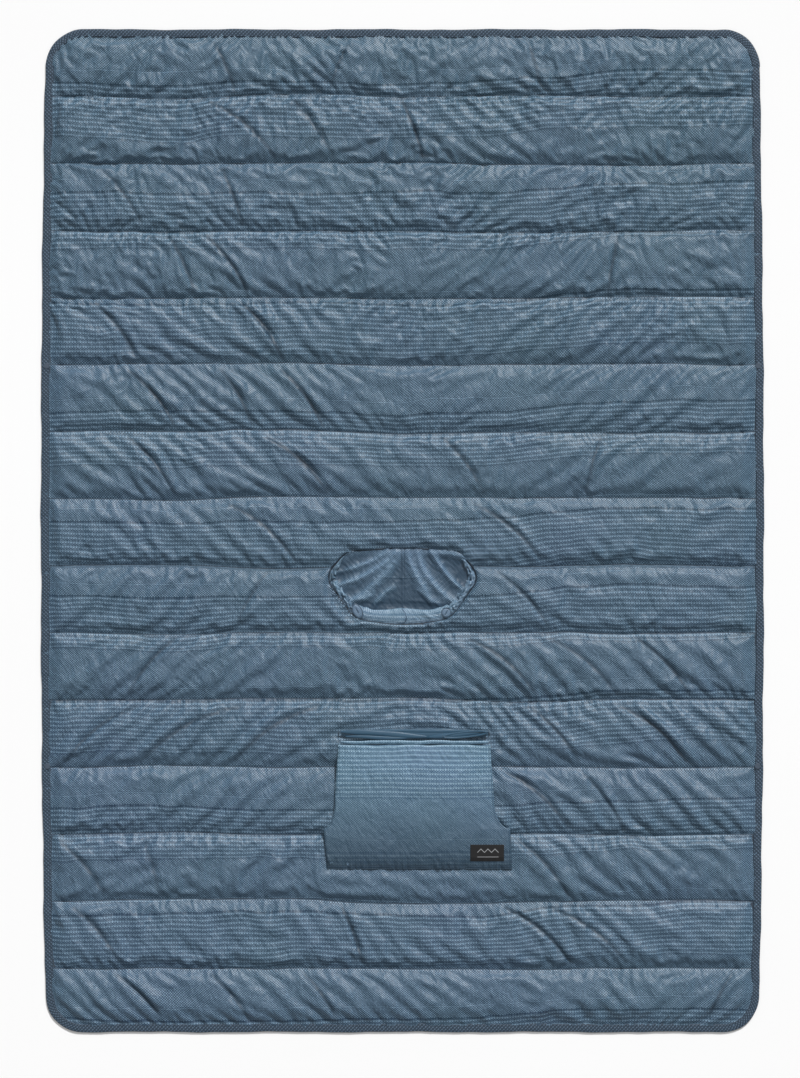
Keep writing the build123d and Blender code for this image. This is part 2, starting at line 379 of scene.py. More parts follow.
def rim_path(step):
    """Points and outward directions round the blanket's edge, evenly spaced, and how far along."""
    corner_x = half_width - corner_radius
    corner_y = half_length - corner_radius
    quarter = np.linspace(0, math.pi / 2, 40)
    corners = []
    for sign_x, sign_y in ((1, 1), (-1, 1), (-1, -1), (1, -1)):
        turn = quarter if sign_x * sign_y > 0 else quarter[::-1]
        px = sign_x * (corner_x + corner_radius * np.cos(turn))
        py = sign_y * (corner_y + corner_radius * np.sin(turn))
        corners.append(np.stack([px, py], axis=1))
    outline = np.concatenate(corners)
    closed = np.concatenate([outline, outline[:1]])
    distance = arc_lengths(closed)
    count = int(round(distance[-1] / step))
    along = np.linspace(0, distance[-1], count + 1)[:-1]
    path = np.stack([np.interp(along, distance, closed[:, i]) for i in (0, 1)], axis=1)
    path[:, 0] *= 1 - side_bow / half_width * (path[:, 1] / half_length) ** 2
    ahead = np.roll(path, -1, axis=0) - np.roll(path, 1, axis=0)
    outward = np.stack([ahead[:, 1], -ahead[:, 0]], axis=1)
    return path, outward / np.linalg.norm(outward, axis=1, keepdims=True), along


def hull_of(points):
    """The convex outline of flat points, anticlockwise."""
    ordered = sorted(map(tuple, np.round(points, 7)))

    def chain(sequence):
        kept = []
        for point in sequence:
            while len(kept) > 1:
                (ax, ay), (bx, by) = kept[-2], kept[-1]
                if (bx - ax) * (point[1] - ay) - (by - ay) * (point[0] - ax) > 0:
                    break
                kept.pop()
            kept.append(point)
        return kept[:-1]

    return np.array(chain(ordered) + chain(ordered[::-1]))


def node_outline(name):
    """The plan outline of a CAD node."""
    mesh = frame["nodes"][name].data
    points = np.empty(len(mesh.vertices) * 3)
    mesh.vertices.foreach_get("co", points)
    return hull_of(points.reshape(-1, 3)[:, :2])


neck_outline = node_outline("hood_hem")


def neck_radius(angle):
    """The neck outline's distance from its middle in each direction."""
    rays = np.stack([np.cos(angle), np.sin(angle)], axis=-1)
    best = np.zeros(rays.shape[:-1])
    start = neck_outline - neck_middle
    step = np.roll(start, -1, axis=0) - start
    for a, d in zip(start, step):
        cross = rays[..., 0] * d[1] - rays[..., 1] * d[0]
        safe = np.where(np.abs(cross) < 1e-12, 1e-12, cross)
        reach = (a[0] * d[1] - a[1] * d[0]) / safe
        share = (a[0] * rays[..., 1] - a[1] * rays[..., 0]) / safe
        hit = (share >= -1e-6) & (share <= 1 + 1e-6) & (reach > 0)
        best = np.where(hit, np.maximum(best, reach), best)
    return best


radius_table = neck_radius(np.linspace(-math.pi, math.pi, 1441))


def neck_reach(angle):
    turned = (angle + math.pi) % (2 * math.pi) - math.pi
    return np.interp(turned, np.linspace(-math.pi, math.pi, 1441), radius_table)


def neck_distance(x, y):
    """How far a point lies outside the neck outline, measured from its middle."""
    dx, dy = x - neck_middle[0], y - neck_middle[1]
    return np.hypot(dx, dy) - neck_reach(np.arctan2(dy, dx))


def round_neck(angle, reach):
    """The places that lie in each direction from the neck's middle, reach away."""
    return neck_middle[0] + reach * np.cos(angle), neck_middle[1] + reach * np.sin(angle)


def clear_of_neck(x, y, gap):
    """Points moved out to the neck outline and its gap, and which of them lay inside."""
    dx, dy = x - neck_middle[0], y - neck_middle[1]
    angle = np.arctan2(dy, dx)
    edge = neck_reach(angle) + gap
    inside = np.hypot(dx, dy) < edge
    edge_x, edge_y = round_neck(angle, edge)
    return np.where(inside, edge_x, x), np.where(inside, edge_y, y), inside


def segment_distance(x, y, start, end):
    """Distance from points to a straight line of stitches."""
    along = np.array(end) - np.array(start)
    share = ((x - start[0]) * along[0] + (y - start[1]) * along[1]) / (along @ along)
    share = np.clip(share, 0, 1)
    return np.hypot(x - start[0] - share * along[0], y - start[1] - share * along[1])


def curved_distance(x, y, start, end, bow):
    """Distance to a bowed line, and how far along it, from 0 to 1."""
    along = np.array(end) - np.array(start)
    length = math.hypot(*along)
    unit = along / length
    share = ((x - start[0]) * unit[0] + (y - start[1]) * unit[1]) / length
    held = np.clip(share, 0, 1)
    side = (x - start[0]) * -unit[1] + (y - start[1]) * unit[0] - bow * 4 * held * (1 - held)
    return np.hypot(side, (share - held) * length), held


# ---------------------------------------------------------------- the quilted shell
pocket_top_x = (-0.129, 0.175)
pocket_curve_x = (-0.135, 0.182)


def pocket_sides(y):
    """The panel's left and right edge at each y: straight, a hollow hand curve, then wider."""
    sides = []
    for top_x, curve_x, low_x, drift in zip(
        pocket_top_x, pocket_curve_x, (pocket_low[0], pocket_high[0] - 0.003), (0.006, 0.003)
    ):
        upper = top_x + (curve_x - top_x) * smoothstep(-y, -pocket_high[1], -hand_curve_top)
        share = np.clip((hand_curve_top - y) / (hand_curve_top - hand_curve_bottom), 0, 1)
        curve = curve_x + (low_x - curve_x) * (1 - np.sqrt(1 - share**2))
        lower = low_x + drift * smoothstep(-y, -hand_curve_bottom, -pocket_low[1])
        sides.append(np.where(y > hand_curve_top, upper, np.where(y > hand_curve_bottom, curve, lower)))
    return sides


slants = (
    # place, sideways and lengthwise size, and how far the cloth is pulled askew there
    ((0.45, -0.45), 0.42, 0.36, 0.043),
    ((-0.35, 0.22), 0.30, 0.26, 0.034),
    ((-0.42, -0.38), 0.34, 0.26, -0.046),
    ((0.46, 0.30), 0.30, 0.30, -0.028),
    ((-0.45, -0.92), 0.40, 0.12, 0.040),
    ((0.12, -0.90), 0.25, 0.14, 0.034),
    ((0.63, -0.93), 0.12, 0.10, -0.045),
)
pocket_floor = 0.0150
creases = (
    # lean from upright, length, width and depth of the sharp creases; a negative depth is a ridge
    (0.45, 0.055, 0.020, 0.0030, 81),
    (0.80, 0.050, 0.024, -0.0026, 82),
    (-0.35, 0.045, 0.018, 0.0026, 83),
    (-0.75, 0.050, 0.024, -0.0026, 84),
    (0.10, 0.040, 0.016, 0.0024, 85),
)
main_folds = (
    # channel by channel from the back hem: each long fold's middle, sideways drift and strength
    ((-0.36, 0.05, 1.0), (-0.12, -0.05, 0.8), (0.26, 0.03, 0.8)),
    ((0.02, 0.04, 1.3), (-0.18, 0.08, 0.8), (-0.32, 0.13, 1.1)),
    ((-0.34, 0.04, 1.0), (-0.56, 0.08, 0.8)),
    ((-0.35, 0.08, 1.3), (-0.44, 0.05, 1.0), (0.42, -0.02, 1.0)),
    ((-0.28, 0.08, 1.4), (-0.57, 0.08, 1.0)),
    ((-0.20, 0.08, 1.3), (-0.50, 0.09, 1.2), (-0.33, 0.06, 1.0)),
    ((-0.21, 0.12, 1.4), (-0.50, 0.09, 1.1), (0.12, 0.08, 1.0), (0.38, -0.03, 0.9)),
    ((-0.28, 0.13, 1.2), (0.21, 0.13, 1.1)),
    ((0.24, 0.10, 0.9), (-0.30, -0.06, 0.7)),
    ((-0.50, -0.09, 1.0), (0.20, 0.13, 1.2), (0.36, 0.13, 0.9), (0.52, 0.10, 1.2)),
    ((-0.42, -0.20, 1.1), (-0.25, -0.17, 1.2), (-0.60, -0.14, 1.0), (0.30, 0.10, 1.1), (0.50, 0.13, 1.2)),
    ((0.27, 0.12, 1.2), (0.40, 0.08, 0.8)),
    ((-0.64, 0.09, 1.0), (0.28, 0.10, 1.0), (-0.50, 0.03, 0.7)),
    ((-0.61, 0.09, 1.0), (-0.10, 0.04, 1.3), (0.27, 0.13, 1.3), (0.37, 0.15, 1.1)),
    ((-0.52, 0.10, 1.0), (-0.34, 0.08, 0.9), (-0.16, 0.07, 1.0), (0.63, -0.05, 1.0)),
)
fold_width = 0.0058
fold_depth = 0.0066
fold_shoulder = 0.0034
pocket_seams = (
    ((pocket_low[0] + 0.003, pocket_low[1] + 0.004), (pocket_high[0] - 0.003, pocket_low[1] + 0.004)),
    ((pocket_low[0] + 0.003, hand_curve_bottom), (pocket_low[0] + 0.003, pocket_low[1] + 0.004)),
    ((pocket_high[0] - 0.003, hand_curve_bottom), (pocket_high[0] - 0.003, pocket_low[1] + 0.004)),
    ((lip_low[0], lip_high[1] - 0.004), (lip_high[0], lip_high[1] - 0.004)),
)
sewn_height = 0.0115
pocket_dent = 0.009
pocket_margin = 0.012


def shell_rows():
    """The y of each row of points, which rows are seams, and each row's place in its channel."""
    limit = half_length - shell_inset
    ends = [limit] + seam_ys + [-limit]
    rows, places, seams = [], [], []
    for start, end in zip(ends[:-1], ends[1:]):
        seams.append(len(rows))
        share = np.arange(rows_per_channel) / rows_per_channel
        rows.extend(start + (end - start) * share)
        places.extend(share)
    seams.append(len(rows))
    return np.array(rows + [ends[-1]]), np.array(places + [0.0]), seams


def main_fold_relief(x, y):
    """The long folds' height: a narrow valley with a softer rise either side."""
    edges = [half_length] + seam_ys + [-half_length]
    relief = np.zeros_like(x)
    for folds, top, bottom in zip(main_folds, edges[:-1], edges[1:]):
        for middle, drift, strength in folds:
            bow = 0.10 * drift
            start, end = (middle - drift / 2, top - 0.012), (middle + drift / 2, bottom + 0.012)
            away, share = curved_distance(x, y, start, end, bow)
            valley = fold_depth * bell(away, fold_width)
            rise = fold_shoulder * bell(away, 2.4 * fold_width)
            relief += strength * (0.55 + 0.45 * np.sin(math.pi * share)) * (rise - valley)
    return relief


def sheet_height(x, y, places, rim):
    """The shell's padded shape before it wrinkles, and each point's distance to a pocket seam."""
    pillow = (4 * places * (1 - places)) ** 0.5
    taper = np.sin(smoothstep(rim, binding_width - 0.004, rim_taper) * math.pi / 2)
    neck = np.clip((neck_distance(x, y) - 0.001) / neck_round_width, 0, 1)
    neck_round = np.sqrt(np.maximum(1 - (1 - neck) ** 2, 0))
    height = seam_height + loft * pillow[:, None] * taper
    height = neck_rim_z + (height - neck_rim_z) * neck_round
    stitched = np.full(x.shape, 1.0)
    for start, end in pocket_seams:
        stitched = np.minimum(stitched, segment_distance(x, y, start, end))
    return height - np.maximum(height - sewn_height, 0) * bell(stitched, pocket_dent), stitched


def highest_allowed(x, y, height):
    """The limit on the wrinkles' height, which is low under the pocket."""
    left, right = pocket_sides(y)
    under_pocket = (x > left - pocket_margin) & (x < right + pocket_margin)
    under_pocket &= (y < lip_high[1] + 0.004) & (y > pocket_low[1])
    ceiling = seam_height + (height - seam_height) * ceiling_share + 0.001
    return np.where(under_pocket, np.minimum(ceiling, pocket_floor), ceiling)


def cloth_slack(x, y, crumple, seam_gap):
    """How much too large the cloth is for its frame each way, and how far it is pulled askew."""
    shape = x.shape
    calm = smoothstep(lattice_noise(shape, (45, 50), 29), -0.2, 1.0)
    busy = 1 - 0.6 * calm
    shear = np.zeros(shape)
    for middle, size_x, size_y, amount in slants:
        shear += amount * mound(x, y, middle, size_x, size_y)
    shear = shear * (1 + 0.8 * lattice_noise(shape, (28, 40), 22))
    shear = shear + (0.012 + 0.026 * crumple) * lattice_noise(shape, (14, 16), 23)
    gather = bell(seam_gap, 6.0) * (0.5 + smoothstep(lattice_noise(shape, (12, 9), 26), -0.2, 1.2))
    wide = (0.007 + 0.007 * crumple) * busy + 0.018 * gather + 0.008 * lattice_noise(shape, (20, 18), 24)
    deep = (0.002 + 0.008 * crumple) * busy
    return wide, deep, shear


def first_bumps(shape, crumple, seam_gap):
    """The small unevenness that the wrinkles start from."""
    facets = np.abs(lattice_noise(shape, (9, 11), 27)) + 0.5 * np.abs(lattice_noise(shape, (5, 5), 28))
    bumps = 0.0012 * lattice_noise(shape, (6, 6), 25)
    bumps = bumps + 0.0026 * crumple * (0.9 - facets)
    at_seams = lattice_noise(shape, (rows_per_channel / 2, 6), 30)
    return bumps + 0.0020 * np.exp(-seam_gap / 7.0) * at_seams


def creased(x, y, z, crumple, seam_gap, rim):
    """The settled cloth's height with sharper wrinkles, small creases and the long folds."""
    sharper = z - crispness * laplacian(z[..., None])[..., 0]
    clear_of_rim = smoothstep(rim, 0.018, 0.040)
    amount = smoothstep(seam_gap, 1.0, 5.0) * clear_of_rim * (0.45 + 0.55 * crumple)
    for lean, length, width, depth, seed in creases:
        patch = smoothstep(lattice_noise(x.shape, (22, 26), seed + 50), -0.3, 0.8)
        sharper -= depth * amount * patch * crease_lines(x, y, lean, length, width, seed)
    return sharper + smoothstep(seam_gap, 1.0, 4.0) * clear_of_rim * main_fold_relief(x, y)


def quilted_sheet():
    """The outer shell at rest: flat x and y, their sway, the settled points and the seam rows."""
    row_y, places, seams = shell_rows()
    across = np.linspace(-1, 1, column_count)
    x = row_half_width(row_y, shell_inset)[:, None] * across[None, :]
    y = np.repeat(row_y[:, None], column_count, axis=1)
    rim = rim_distance(x, y)
    height, stitched = sheet_height(x, y, places, rim)
    sway = 0.0034 * lattice_noise(x.shape, (40, 60), 11) + 0.0008 * lattice_noise(x.shape, (20, 14), 12)
    sway *= smoothstep(rim, 0.01, 0.12)
    base = np.stack([x, y + sway, height], axis=2)

    pinned = (rim < binding_width - 0.002) | (stitched < 0.0022) | (neck_distance(x, y) < 0.004)
    pinned[seams] = True
    patches = smoothstep(lattice_noise(x.shape, (60, 70), 21), 0.0, 1.2)
    crumple = np.clip(smoothstep(y, 0.15, 0.80) + 0.5 * patches, 0, 1)
    seam_gap = np.minimum(places, 1 - places)[:, None] * rows_per_channel
    slack = cloth_slack(x, y, crumple, seam_gap)
    bend = smooth_bend * (1 - crumple) + crumpled_bend * crumple
    bumps = first_bumps(x.shape, crumple, seam_gap)
    ceiling = highest_allowed(x, y, height)
    points = settle(base, *slack, bend, pinned, height * lowest_share, ceiling, bumps)
    sharper = creased(x, y, points[..., 2], crumple, seam_gap, rim)
    sharper = np.clip(sharper, height * lowest_crease_share, ceiling)
    points[..., 2] = np.where(pinned, points[..., 2], sharper)
    return x, y, sway, points, seams


flat_x, flat_y, sway, shell_points, seam_rows = quilted_sheet()


def with_grooves(grid):
    """Adds a row each side of every inner seam, so that its stitching reads as a sharp crease."""
    rows = []
    spacing = (half_length * 2) / (channel_count * rows_per_channel)
    share = seam_groove / spacing
    for index, row in enumerate(grid):
        inner = index in seam_rows[1:-1]
        if inner:
            rows.append(row * (1 - share) + grid[index - 1] * share)
        rows.append(row)
        if inner:
            rows.append(row * (1 - share) + grid[index + 1] * share)
    return np.array(rows)


shell_grid = with_grooves(shell_points)
drift = 0.0030 * lattice_noise(flat_x.shape, (30, 34), 33)
drift += 0.0009 * lattice_noise(flat_x.shape, (8, 9), 34)
side_drift = 0.0030 * lattice_noise(flat_x.shape, (34, 30), 35)
# Each half is cut from its own length of printed cloth, and the print rises a little to the right
print_rise = 0.026 * smoothstep(flat_x, 0.05, 0.50)
printed_back = (flat_y - print_rise) * (print_period / back_period)
printed_front = (flat_y - print_rise * 0.8) * (print_period / front_period) - front_print_start
printed_y = np.where(flat_y > fold_y, printed_back, printed_front)
cloth_grid = with_grooves(np.stack([flat_x + side_drift, printed_y + drift], axis=2))
groove_rows = [seam + 1 + 2 * i for i, seam in enumerate(seam_rows[1:-1])]
shell_grid[groove_rows, :, 2] -= seam_depth
fold_row = groove_rows[shoulder_seam]


def surface_height(x, y):
    """The settled shell's height above a place."""
    z = shell_points[..., 2]
    rows = np.arange(len(flat_y))
    column = (x / row_half_width(y, shell_inset) + 1) / 2 * (column_count - 1)
    near_row = np.rint(np.interp(-y, -flat_y[:, 0], rows)).astype(int)
    near_column = np.clip(np.rint(column).astype(int), 0, column_count - 1)
    row = np.interp(-(y - sway[near_row, near_column]), -flat_y[:, 0], rows)
    r0 = np.clip(np.floor(row).astype(int), 0, flat_y.shape[0] - 2)
    c0 = np.clip(np.floor(column).astype(int), 0, column_count - 2)
    fr, fc = np.clip(row - r0, 0, 1), np.clip(column - c0, 0, 1)
    corners = [z[r0 + i, c0 + j] for i in (0, 1) for j in (0, 1)]
    return between(corners, fc, fr)


def lowest_nearby(grid, reach):
    """Each point's lowest value within reach points of it."""
    for axis in (0, 1):
        views = [np.roll(grid, shift, axis) for shift in range(-reach, reach + 1)]
        grid = np.min(views, axis=0)
    return grid


def sheet_piece(name, grid, cloth, rows, flip=False):
    """Part of a quilted sheet between two rows, with the neck opening cut out."""
    start, end = rows
    points, uv = grid[start:end].copy(), cloth[start:end]
    points[..., 0], points[..., 1], inside = clear_of_neck(points[..., 0], points[..., 1], cloth_neck_gap)
    faces = grid_faces(end - start, grid.shape[1], flip=flip)
    faces = faces[~inside.ravel()[faces].all(axis=1)]
    return make_mesh(name, *drop_unused(points.reshape(-1, 3), faces, uv.reshape(-1, 2)))


def across_fold(piece):
    """Bakes the piece's placement into its mesh."""
    fold_y + fold_zone
    fold_y - fold_zone
    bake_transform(piece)


# ---------------------------------------------------------------- materials
class Field:
    """A number that runs over a surface. Reckoning with fields adds Math nodes to their material."""

    def __init__(self, tree, socket):
        self.tree, self.socket = tree, socket

    def math(self, operation, *others, clamp=False):
        node = self.tree.nodes.new("ShaderNodeMath")
        node.operation = operation
        node.use_clamp = clamp
        for slot, value in enumerate((self, *others)):
            feed(self.tree, node.inputs[slot], value)
        return Field(self.tree, node.outputs[0])

    def __add__(self, other):
        return self.math("ADD", other)

    def __sub__(self, other):
        return self.math("SUBTRACT", other)

    def __mul__(self, other):
        return self.math("MULTIPLY", other)

    def wrap(self, period):
        return self.math("FLOORED_MODULO", period)

    def line(self, centre, half, soft=0.35):
        """1 on a line at centre, 0 more than half away from it, with a soft edge."""
        away = (self - centre).math("ABSOLUTE")
        return (away * (-1 / (half * soft)) + 1 / soft).math("ADD", 0, clamp=True)

    def above(self, value, soft):
        """0 below value and 1 above it, over a distance soft."""
        return ((self - value) * (1 / soft)).math("ADD", 0.5, clamp=True)


def feed(tree, socket, value):
    if isinstance(value, Field):
        tree.links.new(value.socket, socket)
    else:
        socket.default_value = value


def noise(u, v, size, detail=2.0, roughness=0.5, stretch=1.0):
    """Noise from 0 to 1 whose blotches are size metres across, and stretch times as long in v."""
    tree = u.tree
    place = tree.nodes.new("ShaderNodeCombineXYZ")
    feed(tree, place.inputs[0], u * (1 / size))
    feed(tree, place.inputs[1], v * (1 / (size * stretch)))
    node = tree.nodes.new("ShaderNodeTexNoise")
    node.inputs["Scale"].default_value = 1.0
    node.inputs["Detail"].default_value = detail
    node.inputs["Roughness"].default_value = roughness
    tree.links.new(place.outputs[0], node.inputs["Vector"])
    return Field(tree, node.outputs["Fac"])


def mix(share, a, b):
    """Colour b over colour a by share."""
    tree = share.tree
    node = tree.nodes.new("ShaderNodeMix")
    node.data_type = "RGBA"
    feed(tree, node.inputs[0], share)
    feed(tree, node.inputs[6], a)
    feed(tree, node.inputs[7], b)
    return Field(tree, node.outputs[2])


def scaled(colour, red, green, blue):
    return (colour[0] * red, colour[1] * green, colour[2] * blue, 1)


def grey(value):
    return (value, value, value, 1)


class Paint:
    """A new material with its shader, its cloth coordinates in metres and helpers to finish it."""

    def __init__(self, name, roughness=0.6, specular=0.35, sheen=0.0):
        self.material = bpy.data.materials.new(name)
        self.material.use_nodes = True
        self.tree = self.material.node_tree
        self.shader = self.tree.nodes["Principled BSDF"]
        self.shader.inputs["Roughness"].default_value = roughness
        self.shader.inputs["Specular IOR Level"].default_value = specular
        self.shader.inputs["Sheen Weight"].default_value = sheen
        self.shader.inputs["Sheen Roughness"].default_value = 0.4

    def cloth(self):
        place = self.tree.nodes.new("ShaderNodeUVMap")
        place.uv_map = "cloth"
        return self.split(place.outputs[0])[:2]

    def painted_shade(self):
        """How much painted shade the mesh's shade attribute gives a point: the bottoms of creases and
        hollows.
        """
        shade = self.tree.nodes.new("ShaderNodeAttribute")
        shade.attribute_name = "shade"
        return Field(self.tree, shade.outputs["Fac"])

    def solid(self):
        """Coordinates for a part that keeps its shape."""
        return self.split(self.tree.nodes.new("ShaderNodeTexCoord").outputs["Object"])

    def split(self, socket):
        parts = self.tree.nodes.new("ShaderNodeSeparateXYZ")
        self.tree.links.new(socket, parts.inputs[0])
        return [Field(self.tree, output) for output in parts.outputs]

    def colour(self, field):
        feed(self.tree, self.shader.inputs["Base Color"], field)

    def roughness(self, field):
        feed(self.tree, self.shader.inputs["Roughness"], field)

    def relief(self, *layers):
        """Bumps, each a field, its height in metres and its strength."""
        normal = None
        for field, height, strength in layers:
            node = self.tree.nodes.new("ShaderNodeBump")
            node.inputs["Distance"].default_value = height
            node.inputs["Strength"].default_value = strength
            feed(self.tree, node.inputs["Height"], field)
            if normal:
                self.tree.links.new(normal, node.inputs["Normal"])
            normal = node.outputs[0]
        self.tree.links.new(normal, self.shader.inputs["Normal"])


def dotted_print(u, v):
    """The shell's print: bands of dotted rows, then fine staggered dots, from 0 for ground to 1
    for light."""
    place = (v * -1 + print_start).wrap(print_period)
    rows = place.wrap(row_pitch).line(row_pitch / 2, row_pitch * 0.26, 0.7)
    dashes = u.wrap(dot_pitch).line(dot_pitch / 2, dot_pitch * 0.34, 0.6)
    band = place.above(0.002, 0.002) * (place * -1).above(-band_end, 0.002)
    dashes = rows * (dashes * 0.8 + 0.2) * band
    fine_row = (place * (1 / fine_pitch * 2)).math("FLOOR")
    staggered = (u + fine_row * (dot_pitch / 2)).wrap(dot_pitch)
    specks = staggered.line(dot_pitch / 2, dot_pitch * 0.30, 0.8)
    specks = specks * place.wrap(fine_pitch / 2).line(fine_pitch / 4, fine_pitch * 0.24, 0.8)
    rest = (place.above(fine_start, 0.004) * 0.7 + 0.3) * (place * -1).above(-fine_end, 0.002)
    calm = place.line(rule_place, 0.0030, 0.5) * -0.5 + 1
    single = staggered.line(dot_pitch / 2, dot_pitch * 0.3) * 0.5 + 0.5
    single = place.line(rule_place, 0.0012, 0.6) * single
    filler = staggered.line(dot_pitch / 2, dot_pitch * 0.3, 0.7) * band * 0.16
    return dashes * 0.62 + filler + specks * rest * calm * 1.15 + single * 0.45


def plain_weave(u, v, pitch):
    """Threads both ways, from 0 between them to 1 on top."""
    half = pitch / 2
    return (u.wrap(pitch).line(half, half, 1) + v.wrap(pitch).line(half, half, 1)) * 0.5


def print_paint(name, dark, light, strength=1.0, painted_shade_span=None):
    """Printed woven shell cloth, with fine creases, weave and uneven tone. The last argument, when given,
    is the two heights between which painted shade darkens the cloth, as on a panel sloping away from the
    light."""
    paint = Paint(name, roughness=0.50, specular=0.46, sheen=0.06)
    u, v = paint.cloth()
    pattern = dotted_print(u, v) * strength
    cloudy = (noise(u, v, 0.22, 3).above(0.5, 0.4) * 0.7) + (v * -0.22 + u * -0.12 + 0.12)
    speckle = noise(u, v, 0.0030, 1)
    ground = mix(cloudy, scaled(dark, 0.88, 1.06, 0.96), scaled(dark, 1.12, 0.97, 1.18))
    ink = (noise(u, v, 0.0050, 1) * 1.5 + 0.25).math("ADD", 0, clamp=True)
    colour = mix(pattern * ink, ground, light)
    colour = mix(speckle.above(0.62, 0.16) * 0.32, colour, light)
    # Painted shade: darker towards the lower of the two heights.
    if painted_shade_span:
        share = (v * -1).above(-(painted_shade_span[0] + painted_shade_span[1]) / 2, painted_shade_span[0] - painted_shade_span[1])
        colour = mix(share * 0.92, colour, scaled(dark, 0.27, 0.30, 0.33))
    # Painted shade: the shade attribute darkens the colour towards a dark copy of the ground.
    colour = mix(paint.painted_shade(), colour, scaled(dark, 0.45, 0.50, 0.55))
    paint.colour(colour)
    paint.roughness(noise(u, v, 0.05, 2) * 0.16 + 0.43)
    crease = noise(u + v * 0.55, v - u * 0.45, 0.020, 2.5, 0.5, 2.2)
    crease = (crease - 0.5).math("ABSOLUTE") * -2
    facet = noise(u * 0.8 - v * 0.35, v + u * 0.35, 0.045, 1.5, 0.5, 1.8)
    facet = (facet - 0.5).math("ABSOLUTE") * -2
    grain = noise(u, v, 0.0045, 2)
    paint.relief(
        (facet, 0.0086, 0.50), (crease, 0.0040, 0.60), (grain, 0.0008, 0.45),
        (plain_weave(u, v, 0.0006), 0.00008, 0.4),
    )
    return paint.material


def plain_paint(name, dark, light, roughness=0.6, sheen=0.2, crease=0.35):
    """Plain woven cloth: slubs along both threads, soft creases."""
    paint = Paint(name, roughness=roughness, specular=0.35, sheen=sheen)
    u, v = paint.cloth()
    cloudy = noise(u, v, 0.09, 3)
    slub = noise(u, v, 0.0011, 1, 0.5, 5) * 0.5 + noise(u, v, 0.0055, 1, 0.5, 0.2) * 0.5
    paint.colour(mix(slub * 0.6 + cloudy * 0.4, dark, light))
    fold = noise(u + v * 0.3, v, 0.014, 2.5, 0.55, 2.0)
    paint.relief((fold, 0.002, crease), (plain_weave(u, v, 0.0007), 0.0001, 0.5))
    return paint.material


def srgb(red, green, blue):
    """Linear colour from the usual 0 to 255 values."""
    values = [c / 255 for c in (red, green, blue)]
    linear = [c / 12.92 if c <= 0.04045 else ((c + 0.055) / 1.055) ** 2.4 for c in values]
    return tuple(linear) + (1.0,)


def dress(piece, material):
    piece.data.materials.clear()
    piece.data.materials.append(material)


def hang(piece, body, material, slot, *nodes):
    """Puts a piece on its body, or, for body "both", only bakes its placement; then hides the CAD nodes
    it shows and gives it its material.
    """
    if body == "both":
        across_fold(piece)
    else:
        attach(piece, body)
    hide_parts(*nodes)
    dress(piece, material)


shell_paint = print_paint("shell_print", srgb(29, 55, 73), srgb(130, 160, 184))
lining_paint = plain_paint("lining_cloth", srgb(46, 56, 68), srgb(60, 72, 86), crease=0.5)
batting_paint = plain_paint("insulation_fill", srgb(215, 216, 214), srgb(240, 240, 238), 0.9, 0.5)


def binding_paint():
    """Bias tape: the print cut on the slant, a little darker, with painted shade along its inner fold,
    where it meets the shell.
    """
    paint = Paint("binding_tape", roughness=0.6, specular=0.35, sheen=0.25)
    u, v = paint.cloth()
    slant, other = (u + v) * 0.7071, (u - v) * 0.7071
    dots = slant.wrap(0.0052).line(0.0026, 0.0013) * other.wrap(dot_pitch).line(0.0030, 0.0020)
    ground = mix(noise(u, v, 0.04, 2), srgb(31, 48, 62), srgb(40, 57, 73))
    # Painted shade: a dark line along the tape's inner edge.
    fold = v.line(0.0, 0.0016, 0.8)
    ground = mix(fold * 0.8, ground, srgb(16, 24, 34))
    paint.colour(mix(dots * 0.62, ground, srgb(104, 124, 146)))
    weave = slant.wrap(0.0008).line(0.0004, 0.0004, 1)
    pucker = noise(u, v, 0.0055, 2, 0.5, 4)
    paint.relief((pucker, 0.0016, 0.7), (weave, 0.0001, 0.5))
    return paint.material


def thread_paint(name, colour):
    paint = Paint(name, roughness=0.45, specular=0.5, sheen=0.1)
    u, v = paint.cloth()
    twist = (u * 1.6 + v).wrap(0.0007).line(0.00035, 0.0003, 1)
    paint.colour(mix(twist, scaled(colour, 0.7, 0.7, 0.7), colour))
    paint.relief((twist, 0.00008, 0.6))
    return paint.material


tape_paint = binding_paint()
seam_thread = thread_paint("thread", srgb(50, 66, 84))


# ---------------------------------------------------------------- shell, lining and filling
def fold_shade(piece):
    """Painted shade in the bottoms of the long folds, away from the seams and the edge."""
    x, y, _ = np.array([point.co for point in piece.data.vertices]).T
    seam_gap = np.min(np.abs(y[:, None] - np.array(seam_ys)), axis=1)
    inner = smoothstep(seam_gap, 0.004, 0.014) * smoothstep(rim_distance(x, y), 0.020, 0.045)
    return 0.75 * inner * np.clip(-main_fold_relief(x, y) / (fold_depth - fold_shoulder), 0, 1)


def make_shell():
    for side, rows in (("back", (0, fold_row + 1)), ("front", (fold_row, len(shell_grid)))):
        node = f"{side}_outer_shell"
        piece = sheet_piece(f"{side}_shell", shell_grid, cloth_grid, rows)
        set_shade(piece, fold_shade(piece))
        hang(piece, "both", shell_paint, "shell_print", node)


def lining_height(x, y):
    """The lining lies on the ground and is drawn up to each seam and to the edge."""
    seam_gap = np.min(np.abs(y[..., None] - np.array(seam_ys)), axis=-1)
    seam = bell(seam_gap, 0.011)
    rim = 1 - smoothstep(rim_distance(x, y), binding_width - 0.004, 0.042)
    neck = 1 - smoothstep(neck_distance(x, y), 0.004, 0.020)
    return 0.0004 + 0.0022 * np.maximum(np.maximum(seam, rim), neck)


